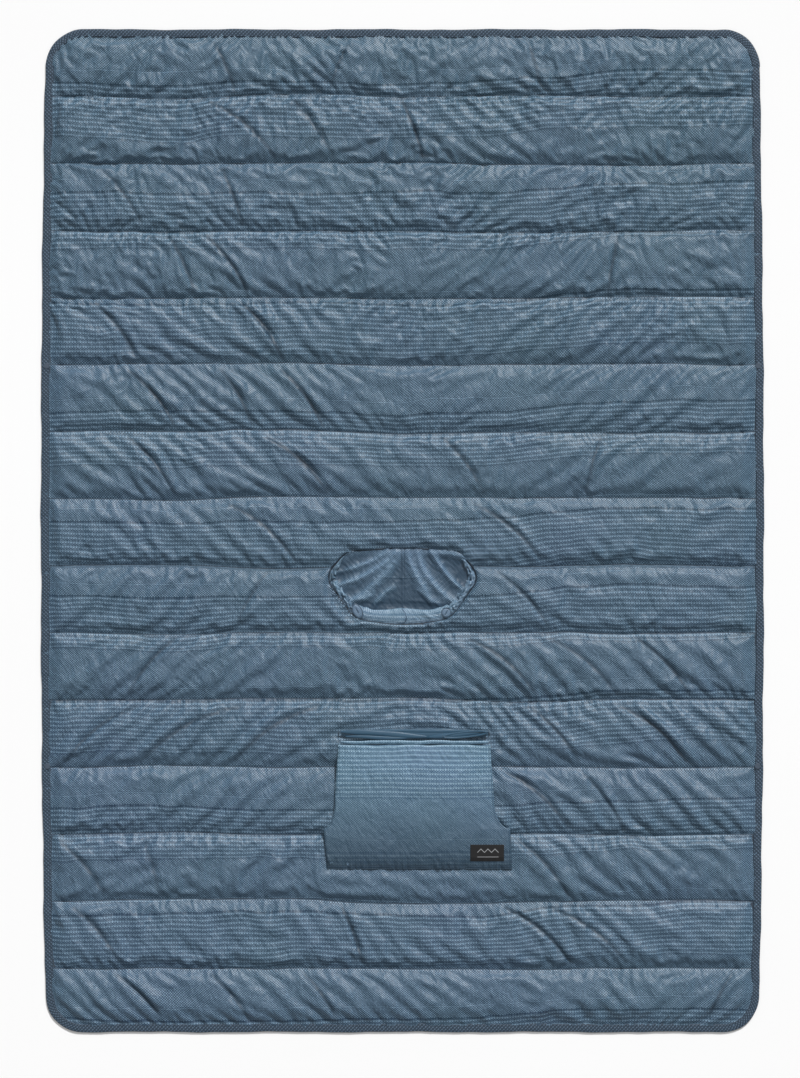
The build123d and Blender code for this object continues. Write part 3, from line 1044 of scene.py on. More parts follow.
def lining_grid():
    """A lighter grid than the shell's, with a row on every seam."""
    rows = sorted(set(range(0, len(flat_y), 2)) | set(seam_rows))
    columns = range(0, column_count, 2)
    x, y = flat_x[rows][:, columns] * 1.003, flat_y[rows][:, columns]
    z = lining_height(x, y) + 0.0003 * np.abs(lattice_noise(x.shape, (5, 7), 31))
    y = y + sway[rows][:, columns]
    return np.stack([x, y, z], axis=2), rows.index(seam_rows[shoulder_seam + 1])


def make_lining():
    grid, fold_index = lining_grid()
    for side, rows in (("back", (0, fold_index + 1)), ("front", (fold_index, len(grid)))):
        node = f"{side}_lining"
        piece = sheet_piece(f"{side}_lining_cloth", grid, grid[..., :2], rows, flip=True)
        hang(piece, "both", lining_paint, "lining_cloth", node)


pad_rows = 11
pad_gap = 0.0006


def open_edges(faces):
    """Directed edges of quads that no other quad shares."""
    ahead = np.concatenate([np.stack([faces[:, i], faces[:, (i + 1) % 4]], axis=1) for i in range(4)])
    known = set(map(tuple, ahead.tolist()))
    return np.array([edge for edge in ahead.tolist() if (edge[1], edge[0]) not in known])


def closed_pad(x, y, upper, lower, inside):
    """Two skins over a grid and the walls between them, without the faces inside the neck."""
    points = np.concatenate([np.stack([x, y, z], axis=2).reshape(-1, 3) for z in (upper, lower)])
    skin = grid_faces(*x.shape)
    skin = skin[~inside.ravel()[skin].all(axis=1)]
    below = x.size
    sides = open_edges(skin)
    walls = np.stack([sides[:, 1], sides[:, 0], sides[:, 0] + below, sides[:, 1] + below], axis=1)
    return points, np.concatenate([skin, skin[:, ::-1] + below, walls])


def make_filling():
    """A pad of batting in each channel, between the shell and the lining."""
    under_shell = lowest_nearby(shell_points[..., 2], 2) - filling_gap
    inset = rim_distance(flat_x, flat_y)
    columns = np.flatnonzero(inset[len(flat_y) // 2] > binding_width + 0.001)[::3]
    for number, (first, last) in enumerate(zip(seam_rows[:-1], seam_rows[1:]), start=1):
        node = channel_node(number)
        rows = np.linspace(first + 2, last - 2, pad_rows).round().astype(int)
        if first == 0 or last == len(flat_y) - 1:
            rows = rows[(inset[rows, column_count // 2] > binding_width + 0.001)]
        x, y = flat_x[rows][:, columns], flat_y[rows][:, columns]
        upper = under_shell[rows][:, columns]
        lower = np.minimum(lining_height(x, y) + pad_gap, upper - pad_gap)
        x = x * np.clip(inset[rows][:, columns] / (binding_width + 0.006), 0.94, 1)
        y = y + sway[rows][:, columns]
        x, y, inside = clear_of_neck(x, y, filling_neck_gap)
        points, faces = closed_pad(x, y, upper, lower, inside)
        name = node.replace("insulation", "insulation_pad")
        piece = make_mesh(name, *drop_unused(points, faces, points[:, :2]))
        body = "back_panel" if node.startswith("back") else "front_panel"
        if number in (shoulder_seam + 1, shoulder_seam + 2):
            body = "both"
        hang(piece, body, batting_paint, "insulation_fill", node)


# ---------------------------------------------------------------- edge binding
tape_step = 0.0036


def make_binding():
    """Tape folded over the edge and stitched through, puckered by its thread."""
    path, outward, along = rim_path(tape_step)
    pucker = wave_noise(along, 0.060, 41) * 0.0005 + wave_noise(along, 0.011, 42, 2) * 0.00028
    path = path + outward * (wave_noise(along, 0.24, 44) * 0.0008 - 0.0006)[:, None]
    low_z, high_z = (corner[2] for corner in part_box("back_edge_binding"))
    middle = (low_z + high_z) / 2
    reach = binding_width
    profile = (
        (-reach, high_z - 0.0007), (-reach, high_z - 0.0001), (-reach * 0.86, high_z - 0.0003),
        (-reach * 0.6, high_z + 0.0002), (-reach * 0.3, high_z + 0.0003), (-0.0016, high_z - 0.0002),
        (-0.0004, (high_z + middle) / 2), (0, middle), (-0.0004, (low_z + middle) / 2),
        (-0.0016, low_z + 0.0002), (-reach * 0.5, low_z), (-reach * 0.95, low_z + 0.0003),
        (-reach, low_z + 0.001),
    )
    rings = []
    for offset, height in profile:
        free = 1 - abs(offset / reach * 2 + 1) ** 2 if height > middle else 0
        wander = wave_noise(along, 0.09, 43) * 0.0004 * (offset <= -reach * 0.9)
        place = path + outward * (offset + wander)[:, None]
        rings.append(np.column_stack([place, height + pucker * max(free, 0.25) * (height > middle)]))
    grid = np.stack(rings, axis=1)
    closed, uv = close_loop(grid, grid_uv(along, arc_lengths(profile)), tape_step)
    faces = grid_faces(len(closed), len(profile))
    behind = np.repeat(closed[:-1, 0, 1] >= fold_y, len(profile) - 1)
    for side, chosen in (("back", behind), ("front", ~behind)):
        parts = drop_unused(closed.reshape(-1, 3), faces[chosen], uv.reshape(-1, 2))
        piece = make_mesh(f"{side}_binding_tape", *parts)
        hang(piece, "both", tape_paint, "binding_tape", f"{side}_edge_binding")


# ---------------------------------------------------------------- stitches
stitch_pitch = 0.0034
stitch_radius = 0.00032
stitch_fill = 0.74
stitch_rise = 0.0003


def stitch_run(points):
    """Stitches laid end to end on a line of points: their vertices, faces and uv."""
    distance = arc_lengths(points)
    starts = np.arange(0, distance[-1] - stitch_pitch, stitch_pitch)
    rings = ((0.0, 0.35), (0.18, 1.0), (0.82, 1.0), (1.0, 0.35))
    sides = 4
    vertices = np.empty((len(starts), len(rings), sides, 3))
    centre = []
    for share, _ in rings:
        place = starts + share * stitch_pitch * stitch_fill
        centre.append([np.interp(place, distance, points[:, axis]) for axis in range(3)])
    centre = np.array(centre)
    direction = centre[-1] - centre[0]
    side = np.stack([-direction[1], direction[0], np.zeros(len(starts))])
    side /= np.linalg.norm(side, axis=0)
    for index, (share, size) in enumerate(rings):
        for corner in range(sides):
            turn = 2 * math.pi * (corner + 0.5) / sides
            place = centre[index] + side * math.cos(turn) * stitch_radius * size
            rise = math.sin(turn) * size + 0.6 * math.sin(math.pi * share)
            place[2] += rise * stitch_radius
            vertices[:, index, corner] = place.T
    number = np.arange(len(rings) * sides).reshape(len(rings), sides)
    ring_next = np.roll(number, -1, axis=1)
    tube = np.stack([number[:-1], ring_next[:-1], ring_next[1:], number[1:]], axis=-1).reshape(-1, 4)
    shape = np.concatenate([tube, number[:1, ::-1], number[-1:]])
    faces = (shape[None] + (np.arange(len(starts)) * number.size)[:, None, None]).reshape(-1, 4)
    flat = vertices.reshape(-1, 3)
    return flat, faces, flat[:, :2]


def make_stitches(name, runs, body, node, paint):
    """One piece of thread from several stitched lines."""
    piece = make_mesh(name, *join_parts([stitch_run(run) for run in runs]))
    hang(piece, body, paint, "thread", node)


def split_where(rows, test):
    """Rows cut into runs wherever the test changes."""
    return np.split(rows, np.flatnonzero(np.diff(test.astype(int))) + 1)


def quilt_runs():
    """The stitched line of each seam, split where the neck opening cuts it."""
    runs = []
    for seam, row in enumerate(groove_rows):
        line = shell_grid[row].copy()
        line[:, 2] += stitch_rise
        keep = neck_distance(line[:, 0], line[:, 1]) > 0.006
        keep &= np.abs(line[:, 0]) < row_half_width(line[:, 1], binding_width)
        groups = zip(split_where(line, keep), split_where(keep, keep))
        runs.extend((seam, group) for group, kept in groups if kept[0] and len(group) > 3)
    return runs


def make_all_stitches():
    runs = quilt_runs()
    path, outward, _ = rim_path(0.004)
    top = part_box("back_edge_binding")[1][2]
    hem = np.column_stack([path - outward * (binding_width - 0.0022), np.full(len(path), top + 0.0001)])
    hem = np.concatenate([hem, hem[:1]])
    parts = [part for part in split_where(hem, hem[:, 1] >= fold_y) if len(part) > 3]
    for side, behind in (("back", True), ("front", False)):
        lines = [run for seam, run in runs if (seam <= shoulder_seam) == behind]
        lines += [part for part in parts if (part[0, 1] >= fold_y) == behind]
        make_stitches(f"{side}_stitches", lines, "both", f"{side}_quilt_stitching", seam_thread)


make_shell()
make_lining()
make_filling()
make_binding()
make_all_stitches()


# ---------------------------------------------------------------- neck edge
neck_profile = (
    # how far out from the neck outline, and how high, each line of the rolled edge runs
    (0.0036, 0.0000), (0.0028, 0.0008), (0.0014, 0.0010), (0.0002, 0.0004),
    (-0.0008, -0.0006), (-0.0008, -0.0022), (0.0010, -0.0030),
)


def make_neck_edge():
    """The blanket's edge rolled over and stitched to the hood."""
    angle = np.linspace(-math.pi, math.pi, 421)[:-1]
    reach = neck_reach(angle)
    along = arc_lengths(np.column_stack(round_neck(angle, reach)))
    pucker = wave_noise(along, 0.022, 51, 2) * 0.00018
    rings = []
    for offset, height in neck_profile:
        place_x, place_y = round_neck(angle, reach + offset)
        top = surface_height(place_x, place_y) if offset > 0.003 else np.full(len(angle), neck_rim_z)
        rings.append(np.column_stack([place_x, place_y, top + height + pucker * (height > 0)]))
    grid = np.stack(rings, axis=1)
    grid, uv = close_loop(grid, grid_uv(along, np.arange(len(neck_profile)) * 0.002), 0.002)
    piece = grid_mesh("neck_edge_roll", grid, uv)
    hang(piece, "both", neck_tape_paint, "binding_tape", "back_neck_binding", "front_neck_binding")


# ---------------------------------------------------------------- hood
hood_z_low = 0.0026
hood_z_high = hood_high[2]
hood_step = 0.0016
hood_grid_half = 0.162
hood_grid_y = (-0.030, -0.194)
hood_seam_groove = 0.0009
hem_overlap = 0.075
hem_count = 760
hem_columns = 19
hem_thickness = 0.0007
hem_lowest = 0.0010
hem_clearance = 0.0008
hem_base = 0.0048
hem_swell = 0.0044
hem_crimp = 0.0030
hem_end_length = 0.030
hem_end_lift = 0.0022
chin_line = -0.1510
hood_seam_x = 0.0012
hood_tape_half = 0.0026
hood_folds = (
    # start, end, sideways bow, width and height of each fold of the hood inside the opening
    ((-0.012, -0.044), (-0.128, -0.108), 0.010, 0.0075, 0.0036),
    ((-0.030, -0.043), (-0.136, -0.083), 0.006, 0.0065, 0.0026),
    ((-0.006, -0.050), (-0.100, -0.142), 0.006, 0.0090, 0.0026),
    ((-0.018, -0.112), (-0.058, -0.152), -0.004, 0.0060, 0.0024),
    ((0.010, -0.046), (0.074, -0.150), -0.010, 0.0080, 0.0032),
    ((0.030, -0.046), (0.102, -0.142), -0.012, 0.0090, 0.0034),
    ((0.058, -0.044), (0.118, -0.118), -0.004, 0.0060, 0.0036),
    ((0.066, -0.046), (0.122, -0.052), 0.004, 0.0080, 0.0034),
    ((-0.060, -0.128), (-0.108, -0.136), 0.004, 0.0060, 0.0022),
    ((0.030, -0.118), (0.060, -0.150), 0.003, 0.0050, 0.0018),
)
hood_pits = (
    # middle, sideways and lengthwise size, and depth of each dark hollow
    ((0.123, -0.080), 0.016, 0.022, 0.0045),
    ((-0.124, -0.078), 0.016, 0.020, 0.0030),
    ((0.050, -0.128), 0.022, 0.014, 0.0024),
    ((-0.030, -0.148), 0.040, 0.006, 0.0020),
    ((0.040, -0.150), 0.040, 0.006, 0.0022),
)


def hood_height(x, y):
    """The stowed hood's cloth: long folds from the nape, hollows, and a rise to the hem."""
    edge = np.clip(-neck_distance(x, y), 0, 1)
    z = hood_z_low + 0.0030 * (1 - smoothstep(edge, 0.0, 0.022)) + 0.0012
    for start, end, bow, width, height in hood_folds:
        away, share = curved_distance(x, y, start, end, bow)
        swell = 0.55 + 0.45 * np.sin(math.pi * share) ** 0.7
        z = z + 2.1 * height * np.exp(-((away / width) ** 1.6)) * swell
    for middle, size_x, size_y, depth in hood_pits:
        z = z - depth * mound(x, y, middle, size_x, size_y)
    fine = 0.0005 * np.sin(x * 310 + 4 * np.sin(y * 90)) * np.sin(y * 260 + 3 * np.sin(x * 120))
    cross = 0.0011 * bell(y + 0.094 - 0.05 * np.abs(x), 0.0013) * (np.abs(x) < 0.052)
    seam = bell(np.abs(x - hood_seam_x) - hood_tape_half, 0.0008) * hood_seam_groove
    tape = 0.0007 * smoothstep(2 * hood_tape_half - np.abs(x - hood_seam_x), 0, 0.0012)
    return np.clip(z + fine + cross + tape - seam, 0.0022, hood_z_high)


def hood_shade(points):
    """Painted shade on the hood: in its hollows, along its seam, under the nape and beside the chin
    strip.
    """
    x, y, z = points.T
    low = 1 - smoothstep(z, 0.0028, 0.0098)
    seam = bell(np.abs(x - hood_seam_x) - hood_tape_half, 0.0010) * 0.8
    strip = 0.55 * bell(y - chin_line, 0.007) * (np.abs(x) < 0.1)
    nape = 0.3 * bell(neck_distance(x, y), 0.004)
    return 0.95 * low + seam + strip + nape


def make_hood_cloth():
    top, bottom = hood_grid_y
    xs = np.arange(-hood_grid_half, hood_grid_half + 0.0001, hood_step)
    x, y = np.meshgrid(xs, np.arange(top, bottom - 0.0001, -hood_step))
    z = hood_height(x, y)
    inside = neck_distance(x, y) < 0.004
    uv = np.stack([x + 0.1 * y, y - 0.058 + 0.08 * np.abs(x)], axis=2)
    grid = np.stack([x, y, z], axis=2)
    faces = grid_faces(*x.shape)
    faces = faces[inside.ravel()[faces].all(axis=1)]
    left = x.ravel()[faces].mean(axis=1) < hood_seam_x
    for side, chosen in (("right", left), ("left", ~left)):
        points, kept, cloth = drop_unused(grid.reshape(-1, 3), faces[chosen], uv.reshape(-1, 2))
        piece = make_mesh(f"hood_{side}_cloth", points, kept, cloth)
        set_shade(piece, hood_shade(points))
        hang(piece, "hood", hood_paint, "hood_print", f"hood_{side}_panel")


def hem_width(angle):
    """How far the hem reaches in from the neck outline: narrow at the nape, deep at the chin."""
    down = np.maximum(-np.sin(angle), 0.05)
    strip = neck_reach(angle) - (neck_middle[1] - chin_line) / down
    nape = smoothstep(np.sin(angle), 0.05, 0.70)
    side = (0.0155 + 0.003 * smoothstep(np.cos(angle), -1, 1)) * (1 - nape) - 0.0030 * nape
    soft = 0.004
    return soft * np.log(np.exp(np.clip(side / soft, -8, 8)) + np.exp(np.clip(strip / soft, -8, 8)))


def make_hood_hem():
    """The gathered tunnel round the hood's face opening. Its two ends cross under the chin."""
    angle = np.linspace(-math.pi / 2 - hem_overlap, 1.5 * math.pi + hem_overlap, hem_count)
    reach = neck_reach(angle)
    step = np.hypot(np.gradient(reach * np.cos(angle)), np.gradient(reach * np.sin(angle)))
    along = np.cumsum(step)
    width = hem_width(angle)
    gather = 1 - smoothstep(-np.sin(angle), 0.36, 0.55)
    under = smoothstep(np.sin(angle), 0.25, 0.75)
    gather = gather * (1 - 0.8 * under)
    ends = smoothstep(along, along[-1] - hem_end_length, along[-1])
    across = np.linspace(0, 1, hem_columns)
    crumples = 0.7 - np.abs(lattice_noise((hem_count, hem_columns), (8, 7), 62))
    crumples = crumples + 0.6 * lattice_noise((hem_count, hem_columns), (4, 4), 64)
    at_chin = smoothstep(-np.sin(angle), 0.6, 0.9)
    last_edge = 1 - smoothstep(along, along[-1] - 0.0022, along[-1])
    rings = []
    for column, share in enumerate(across):
        lean = 0.004 * share * wave_noise(along, 0.019, 61, 2) * gather
        turn = angle + lean / 0.12
        curl = 0.010 * np.sin(math.pi * share) - 0.007 * share
        turn = turn + ends * curl / 0.10
        out = reach - hem_clearance - (width - hem_clearance) * share
        body = math.sin(math.pi * min(max(share, 0.02), 0.98)) ** 0.6
        rise = (hem_base + hem_swell * body * (1 - 0.25 * at_chin)) * (1 - 0.45 * under)
        crimp = crumples[:, column] * hem_crimp * gather * (0.25 + body)
        flow = wave_noise(along * 0.6 + share * 0.010, 0.030, 63, 2) * 0.00045 * body
        lift = ends * hem_end_lift * last_edge
        notch = 0.0015 * bell(along - along[-1] + 0.010, 0.005) * share
        z = rise + crimp + flow + lift - notch - 0.0016 * share * (1 - body)
        z = np.maximum(z - 0.0030 * (share > 0.99) - 0.0006 * (share > 0.93), hem_lowest)
        rings.append(np.column_stack([*round_neck(turn, out), z]))
    grid = np.stack(rings, axis=1)
    uv = grid_uv(along, across * 0.03)
    piece = grid_mesh("hood_hem_strip", grid, uv)
    # Painted shade: the hem's crumpled hollows, its outer edge by the neck and the crossing of its ends
    # go dark.
    hollows = gather[:, None] * smoothstep(0.15 - crumples, 0, 0.9) + bell(across, 0.09)[None, :]
    crossing = bell(along[:, None] - along[-1] + 0.0015, 0.0016) * (across[None, :] > 0.05)
    set_shade(piece, (hollows * 0.9 + crossing).ravel())
    thicken(piece, hem_thickness)
    hang(piece, "hood", hood_hem_paint, "hood_print", "hood_hem", "hood_elastic", "hood_seam_tape")
    return grid


hood_patches = (
    # middle, radius and how many times as long as wide
    (0.087, -0.1635, 0.0102, 1.0),
    (-0.090, -0.1600, 0.0098, 1.7),
)


def make_patches(hem):
    """Rounded patches over the hem's lower corners, each with a worked buttonhole."""
    parts, shade = [], []
    flat = hem.reshape(-1, 3)
    turn = np.linspace(0, 2 * math.pi, 41)[:-1]
    for px, py, radius, stretch in hood_patches:
        points = []
        lean = math.atan2(py - neck_middle[1], px - neck_middle[0]) + math.pi / 2
        for share in np.linspace(0.02, 1.08, 14):
            inner = min(share, 1.0)
            local_x = radius * inner * np.cos(turn) * stretch
            local_y = radius * inner * np.sin(turn)
            x = px + local_x * math.cos(lean) - local_y * math.sin(lean)
            y = py + local_x * math.sin(lean) + local_y * math.cos(lean)
            near = np.hypot(flat[:, 0, None] - x, flat[:, 1, None] - y).argmin(axis=0)
            rim = 0.0009 * bell(inner - 0.84, 0.07)
            slit = 0.0012 * bell(local_y, 0.0008) * (np.abs(local_x) < 0.0052)
            z = 0.0108 - 0.0016 * inner**4 - rim - slit - 0.0016 * (share > 1.0)
            z = np.maximum(z, flat[near, 2] + 0.0004)
            points.append(np.column_stack([x, y, z]))
            # Painted shade round each patch's rim and in its buttonhole slit.
            shade.append(1.0 * (inner > 0.80) + 0.8 * (slit > 0.0003))
        faces = grid_faces(len(points), len(turn), wrap=True, flip=True)
        points = np.concatenate(points)
        parts.append((points, faces, points[:, :2]))
    piece = make_mesh("hood_patches", *join_parts(parts))
    set_shade(piece, np.concatenate([np.broadcast_to(value, len(turn)) for value in shade]))
    hang(piece, "hood", patch_paint, "hood_print", "hood_buttonhole_patches")


# ---------------------------------------------------------------- pocket
panel_thickness = 0.0011
label_thickness = 0.0005
hem_stitch_insets = (0.0035, 0.0085)
label_rise = 0.0006
liner_gap = 0.0034
loop_inset = 0.047
tack_pitch = 0.0009
tack_half = 0.0024
panel_middle = (
    # how far down the panel, from 0 to 1, and the height of its middle there
    (0, 0.0225), (0.06, 0.0238), (0.3, 0.0252), (0.55, 0.0246), (0.9, 0.0188), (1, 0.0135),
)
panel_edge = (
    # the same for its two side edges
    (0, 0.0185), (0.3, 0.0180), (0.6, 0.0172), (0.9, 0.0160), (1, 0.0130),
)
panel_folds = (
    # start, end, sideways bow, width and depth of each slack fold in the panel
    ((-0.078, -0.468), (-0.058, -0.532), 0.003, 0.0040, 0.0016),
    ((-0.103, -0.476), (-0.108, -0.520), 0.002, 0.0040, 0.0011),
    ((0.012, -0.462), (0.020, -0.500), -0.002, 0.0050, 0.0007),
    ((0.120, -0.560), (0.190, -0.610), 0.004, 0.0060, 0.0012),
    ((-0.120, -0.560), (-0.146, -0.600), -0.004, 0.0050, 0.0012),
    ((0.060, -0.640), (0.075, -0.668), 0.001, 0.0040, 0.0010),
    ((-0.040, -0.630), (-0.036, -0.668), 0.001, 0.0050, 0.0009),
)


def panel_height(x, y):
    """The panel stands proud of the blanket and is sewn down along its bottom edge."""
    left, right = pocket_sides(y)
    across = np.clip((x - left) / (right - left), 0, 1) * 2 - 1
    down = np.clip((pocket_high[1] - y) / (pocket_high[1] - pocket_low[1]), 0, 1)
    middle = np.interp(down, *zip(*panel_middle))
    edge = np.interp(down, *zip(*panel_edge))
    z = edge + (middle - edge) * (1 - np.abs(across) ** 2.4)
    soft = 0.0006 * np.sin(x * 46 + 2.0 * np.sin(y * 21)) * np.sin(math.pi * down) ** 0.5
    tucks = 0.0011 * bell(down - 0.985, 0.05) * np.sin(x * 330 + 3 * np.sin(x * 71))
    gathers = 0.0006 * bell(down - 0.02, 0.04) * np.sin(x * 420 + 4 * np.sin(x * 63))
    for start, end, bow, width, height in panel_folds:
        away, share = curved_distance(x, y, start, end, bow)
        soft = soft - height * bell(away, width) * np.sin(math.pi * np.clip(share, 0.03, 0.97))
    return z + soft + tucks + gathers


def pocket_grid(rows, left, right, across):
    """A grid of x and y between two sides, one row for each height."""
    x = left[:, None] + (right - left)[:, None] * across[None, :]
    return x, np.repeat(rows[:, None], len(across), axis=1)


def make_panel():
    rows = np.linspace(pocket_high[1], pocket_low[1] + 0.012, 120)
    rows = np.concatenate([rows, np.linspace(rows[-1], pocket_low[1], 13)[1:]])
    across = np.linspace(0, 1, 151)
    x, y = pocket_grid(rows, *pocket_sides(rows), across)
    wave = 0.0006 * wave_noise(x, 0.11, 71) * bell(y - pocket_high[1], 0.01)
    z = panel_height(x, y)
    turned = np.maximum(1 - np.minimum(across, 1 - across) / 0.012, 0)[None, :]
    top = np.maximum(1 - (pocket_high[1] - y) / 0.004, 0)
    bottom = np.maximum(1 - (y - pocket_low[1]) / 0.003, 0)
    z = z - 0.0012 * np.maximum(np.maximum(turned, top), bottom) ** 2
    for inset in hem_stitch_insets:
        z = z - 0.0007 * bell(y - pocket_low[1] - inset, 0.0011)
    grid = np.stack([x, y + wave, z], axis=2)
    uv = np.stack([x, y + 0.0098 + 0.0012 * lattice_noise(x.shape, (24, 26), 72)], axis=2)
    piece = grid_mesh("pocket_front", grid, uv)
    thicken(piece, panel_thickness)
    hang(piece, "front_panel", pocket_paint, "pocket_print", "pocket_panel")


def make_liner():
    """The light blue lining behind the panel, seen only through the openings."""
    rows = np.linspace(lip_low[1], pocket_low[1] + 0.063, 46)
    across = np.linspace(0.05, 0.95, 61)
    left, right = pocket_sides(np.minimum(rows, pocket_high[1]))
    left = np.maximum(left, pocket_curve_x[0])
    right = np.minimum(right, pocket_curve_x[1])
    x, y = pocket_grid(rows, left, right, across)
    top = panel_height(x, np.minimum(y, pocket_high[1])) - liner_gap
    under = surface_height(x, y)
    z = np.minimum(top, under + 0.0022 + 0.0008 * np.sin(x * 90) * np.sin(y * 70))
    z = np.maximum(z, under + 0.0006)
    piece = grid_mesh("pocket_lining", np.stack([x, y, z], axis=2), np.stack([x, y], axis=2))
    hang(piece, "front_panel", liner_paint, "liner_cloth", "pocket_liner")


def lip_tube(points, widths, heights, sides=18):
    """A flattened tube of cloth along points: its points, faces and uv."""
    points = np.asarray(points, float)
    ahead = np.gradient(points, axis=0)
    ahead /= np.linalg.norm(ahead, axis=1, keepdims=True)
    side = np.stack([-ahead[:, 1], ahead[:, 0], np.zeros(len(points))], axis=1)
    side /= np.linalg.norm(side, axis=1, keepdims=True)
    up = np.cross(ahead, side)
    turn = np.linspace(0, 2 * math.pi, sides + 1)[:-1]
    along = arc_lengths(points)
    rings, uv = [], []
    for index in range(len(points)):
        ring = points[index] + np.outer(np.cos(turn) * widths[index], side[index])
        rings.append(ring + np.outer(np.sin(turn) * heights[index], up[index]))
        uv.append(np.column_stack([np.full(sides, along[index]), turn * 0.004]))
    faces = grid_faces(len(points), sides, wrap=True, flip=True)
    return np.concatenate(rings), faces, np.concatenate(uv)


def make_lip():
    """The liner's rolled lip: soft overlapping folds, and a long flat loop near its right end."""
    left, right = lip_low[0], lip_high[0]
    middle = (lip_low[1] + lip_high[1]) / 2
    folds = (
        # start x, end x, start y, end y, thickest half width, height of its middle
        (left + 0.002, right - 0.002, middle + 0.0005, middle + 0.0005, 0.0108, 0.0165),
        (left + 0.001, left + 0.172, middle + 0.0055, middle - 0.0040, 0.0062, 0.0195),
        (left + 0.010, left + 0.135, middle - 0.0050, middle - 0.0075, 0.0036, 0.0205),
        (left + 0.090, right - 0.030, middle + 0.0060, middle + 0.0070, 0.0036, 0.0182),
        (right - 0.120, right - 0.001, middle - 0.0060, middle + 0.0050, 0.0056, 0.0190),
    )
    parts = []
    for index, (x0, x1, y0, y1, half, z) in enumerate(folds):
        share = np.linspace(0, 1, 90)
        x = x0 + (x1 - x0) * share
        y = y0 + (y1 - y0) * smoothstep(share) + 0.0007 * wave_noise(x, 0.15, 80 + index, 1)
        swell = np.sin(math.pi * np.clip(share, 0.004, 0.996)) ** 0.35
        width = half * swell * (1 + 0.08 * wave_noise(x, 0.10, 90 + index, 1))
        height = np.minimum(half * 0.5, 0.0030) * swell
        parts.append(lip_tube(np.column_stack([x, y, np.full(len(x), z)]), width, height))
    turn = np.linspace(0.06, 2 * math.pi * 0.97, 110)
    loop_x = right - loop_inset + 0.043 * np.cos(turn + 0.2)
    loop_y = middle - 0.0005 + 0.0050 * np.sin(turn + 0.2) + 0.10 * (loop_x - right + loop_inset)
    loop_z = 0.0212 + 0.0008 * np.cos(turn * 2)
    loop = np.column_stack([loop_x, loop_y, loop_z])
    parts.append(lip_tube(loop, np.full(len(loop), 0.0021), np.full(len(loop), 0.0016), 12))
    piece = make_mesh("pocket_lip", *join_parts(parts))
    hang(piece, "front_panel", liner_paint, "liner_cloth", "pocket_liner_lip")


def make_pocket_hem():
    """The printed strip between the lip and the panel, with a rounded upper edge."""
    x = np.linspace(strip_low[0] + 0.001, strip_high[0] - 0.001, 150)
    middle = (strip_low[1] + strip_high[1]) / 2
    line = np.column_stack([x, middle + 0.0006 * wave_noise(x, 0.12, 95), np.full(len(x), 0.0196)])
    swell = np.sin(math.pi * np.linspace(0.01, 0.99, len(x))) ** 0.2
    piece = make_mesh("pocket_hem_strip", *lip_tube(line, 0.0042 * swell, 0.0022 * swell))
    hang(piece, "front_panel", pocket_paint, "pocket_print", "pocket_top_hem")


def make_label():
    """A small woven label with uneven cut ends, which rises a little between them."""
    xs = np.linspace(label_low[0], label_high[0], 101)
    x, y = np.meshgrid(xs, np.linspace(label_high[1], label_low[1], 41))
    edge = 0.0004 * np.sin(y[:, -1] * 2 * math.pi / 0.0032)
    x[:, -1] += edge
    x[:, 0] += edge * 0.5
    share = (x - label_low[0]) / (label_high[0] - label_low[0])
    z = panel_height(x, y) + label_rise + 0.0003 * np.sin(share * math.pi)
    uv = np.stack([(x - label_low[0]), (y - label_low[1])], axis=2)
    piece = grid_mesh("woven_label", np.stack([x, y, z], axis=2), uv)
    thicken(piece, label_thickness)
    hang(piece, "front_panel", label_paint, "label_weave", "label")


def on_panel(x, y):
    return np.column_stack([x, y, panel_height(x, y) + stitch_rise])


def make_pocket_stitches():
    runs = []
    for inset in hem_stitch_insets:
        y = pocket_low[1] + inset
        left, right = (side[0] for side in pocket_sides(np.array([y])))
        x = np.linspace(left + 0.003, right - 0.003, 160)
        runs.append(on_panel(x, np.full(len(x), y)))
    for side, inward in ((0, 1), (1, -1)):
        for start, end, count, inset in (
            (hand_curve_bottom - 0.004, pocket_low[1] + 0.004, 40, 0.0035),
            (pocket_high[1] - 0.003, hand_curve_bottom + 0.003, 90, 0.0028),
        ):
            y = np.linspace(start, end, count)
            runs.append(on_panel(pocket_sides(y)[side] + inward * inset, y))
    make_stitches("pocket_stitches", runs, "front_panel", "pocket_stitching", pocket_thread)
    tacks = []
    for x in (lip_low[0] - 0.002, lip_high[0] + 0.002):
        for row in range(-5, 6):
            y = (lip_low[1] + lip_high[1]) / 2 + row * tack_pitch
            z = surface_height(np.array([x]), np.array([y]))[0] + 0.0016
            tacks.append(np.array([(x - tack_half, y, z), (x + tack_half, y + 0.0004, z)]))
    make_stitches("pocket_bar_tack_threads", tacks, "front_panel", "pocket_bar_tacks", pocket_thread)


def label_cloth():
    """Black satin weave with a row of small peaks and a thin rule woven in."""
    paint = Paint("label_weave", roughness=0.5, specular=0.4, sheen=0.15)
    u, v = paint.cloth()
    peak = (u.wrap(0.0140) - 0.0070).math("ABSOLUTE")
    ridge = (v + peak).line(0.0245, 0.0010, 0.4)
    inside = u.above(0.0140, 0.0004) * (u * -1).above(-0.0560, 0.0004)
    rule = v.line(0.0085, 0.0007, 0.4) * inside
    weft = v.wrap(0.0006).line(0.0003, 0.0003, 1)
    ground = mix(weft * 0.5 + noise(u, v, 0.01, 2) * 0.3, srgb(6, 6, 8), srgb(16, 16, 19))
    paint.colour(mix((ridge * inside + rule * 0.8) * (weft * 0.4 + 0.6), ground, srgb(170, 172, 175)))
    paint.relief((weft, 0.0001, 0.6))
    return paint.material


neck_tape_paint = plain_paint("neck_binding", srgb(18, 30, 42), srgb(30, 44, 58))
hood_paint = print_paint("hood_print", srgb(54, 84, 106), srgb(150, 177, 198), 0.95)
hood_hem_paint = print_paint("hood_hem_print", srgb(78, 106, 130), srgb(172, 194, 212), 0.9)
patch_paint = print_paint("hood_patch_print", srgb(84, 108, 128), srgb(138, 160, 178), 0.4)
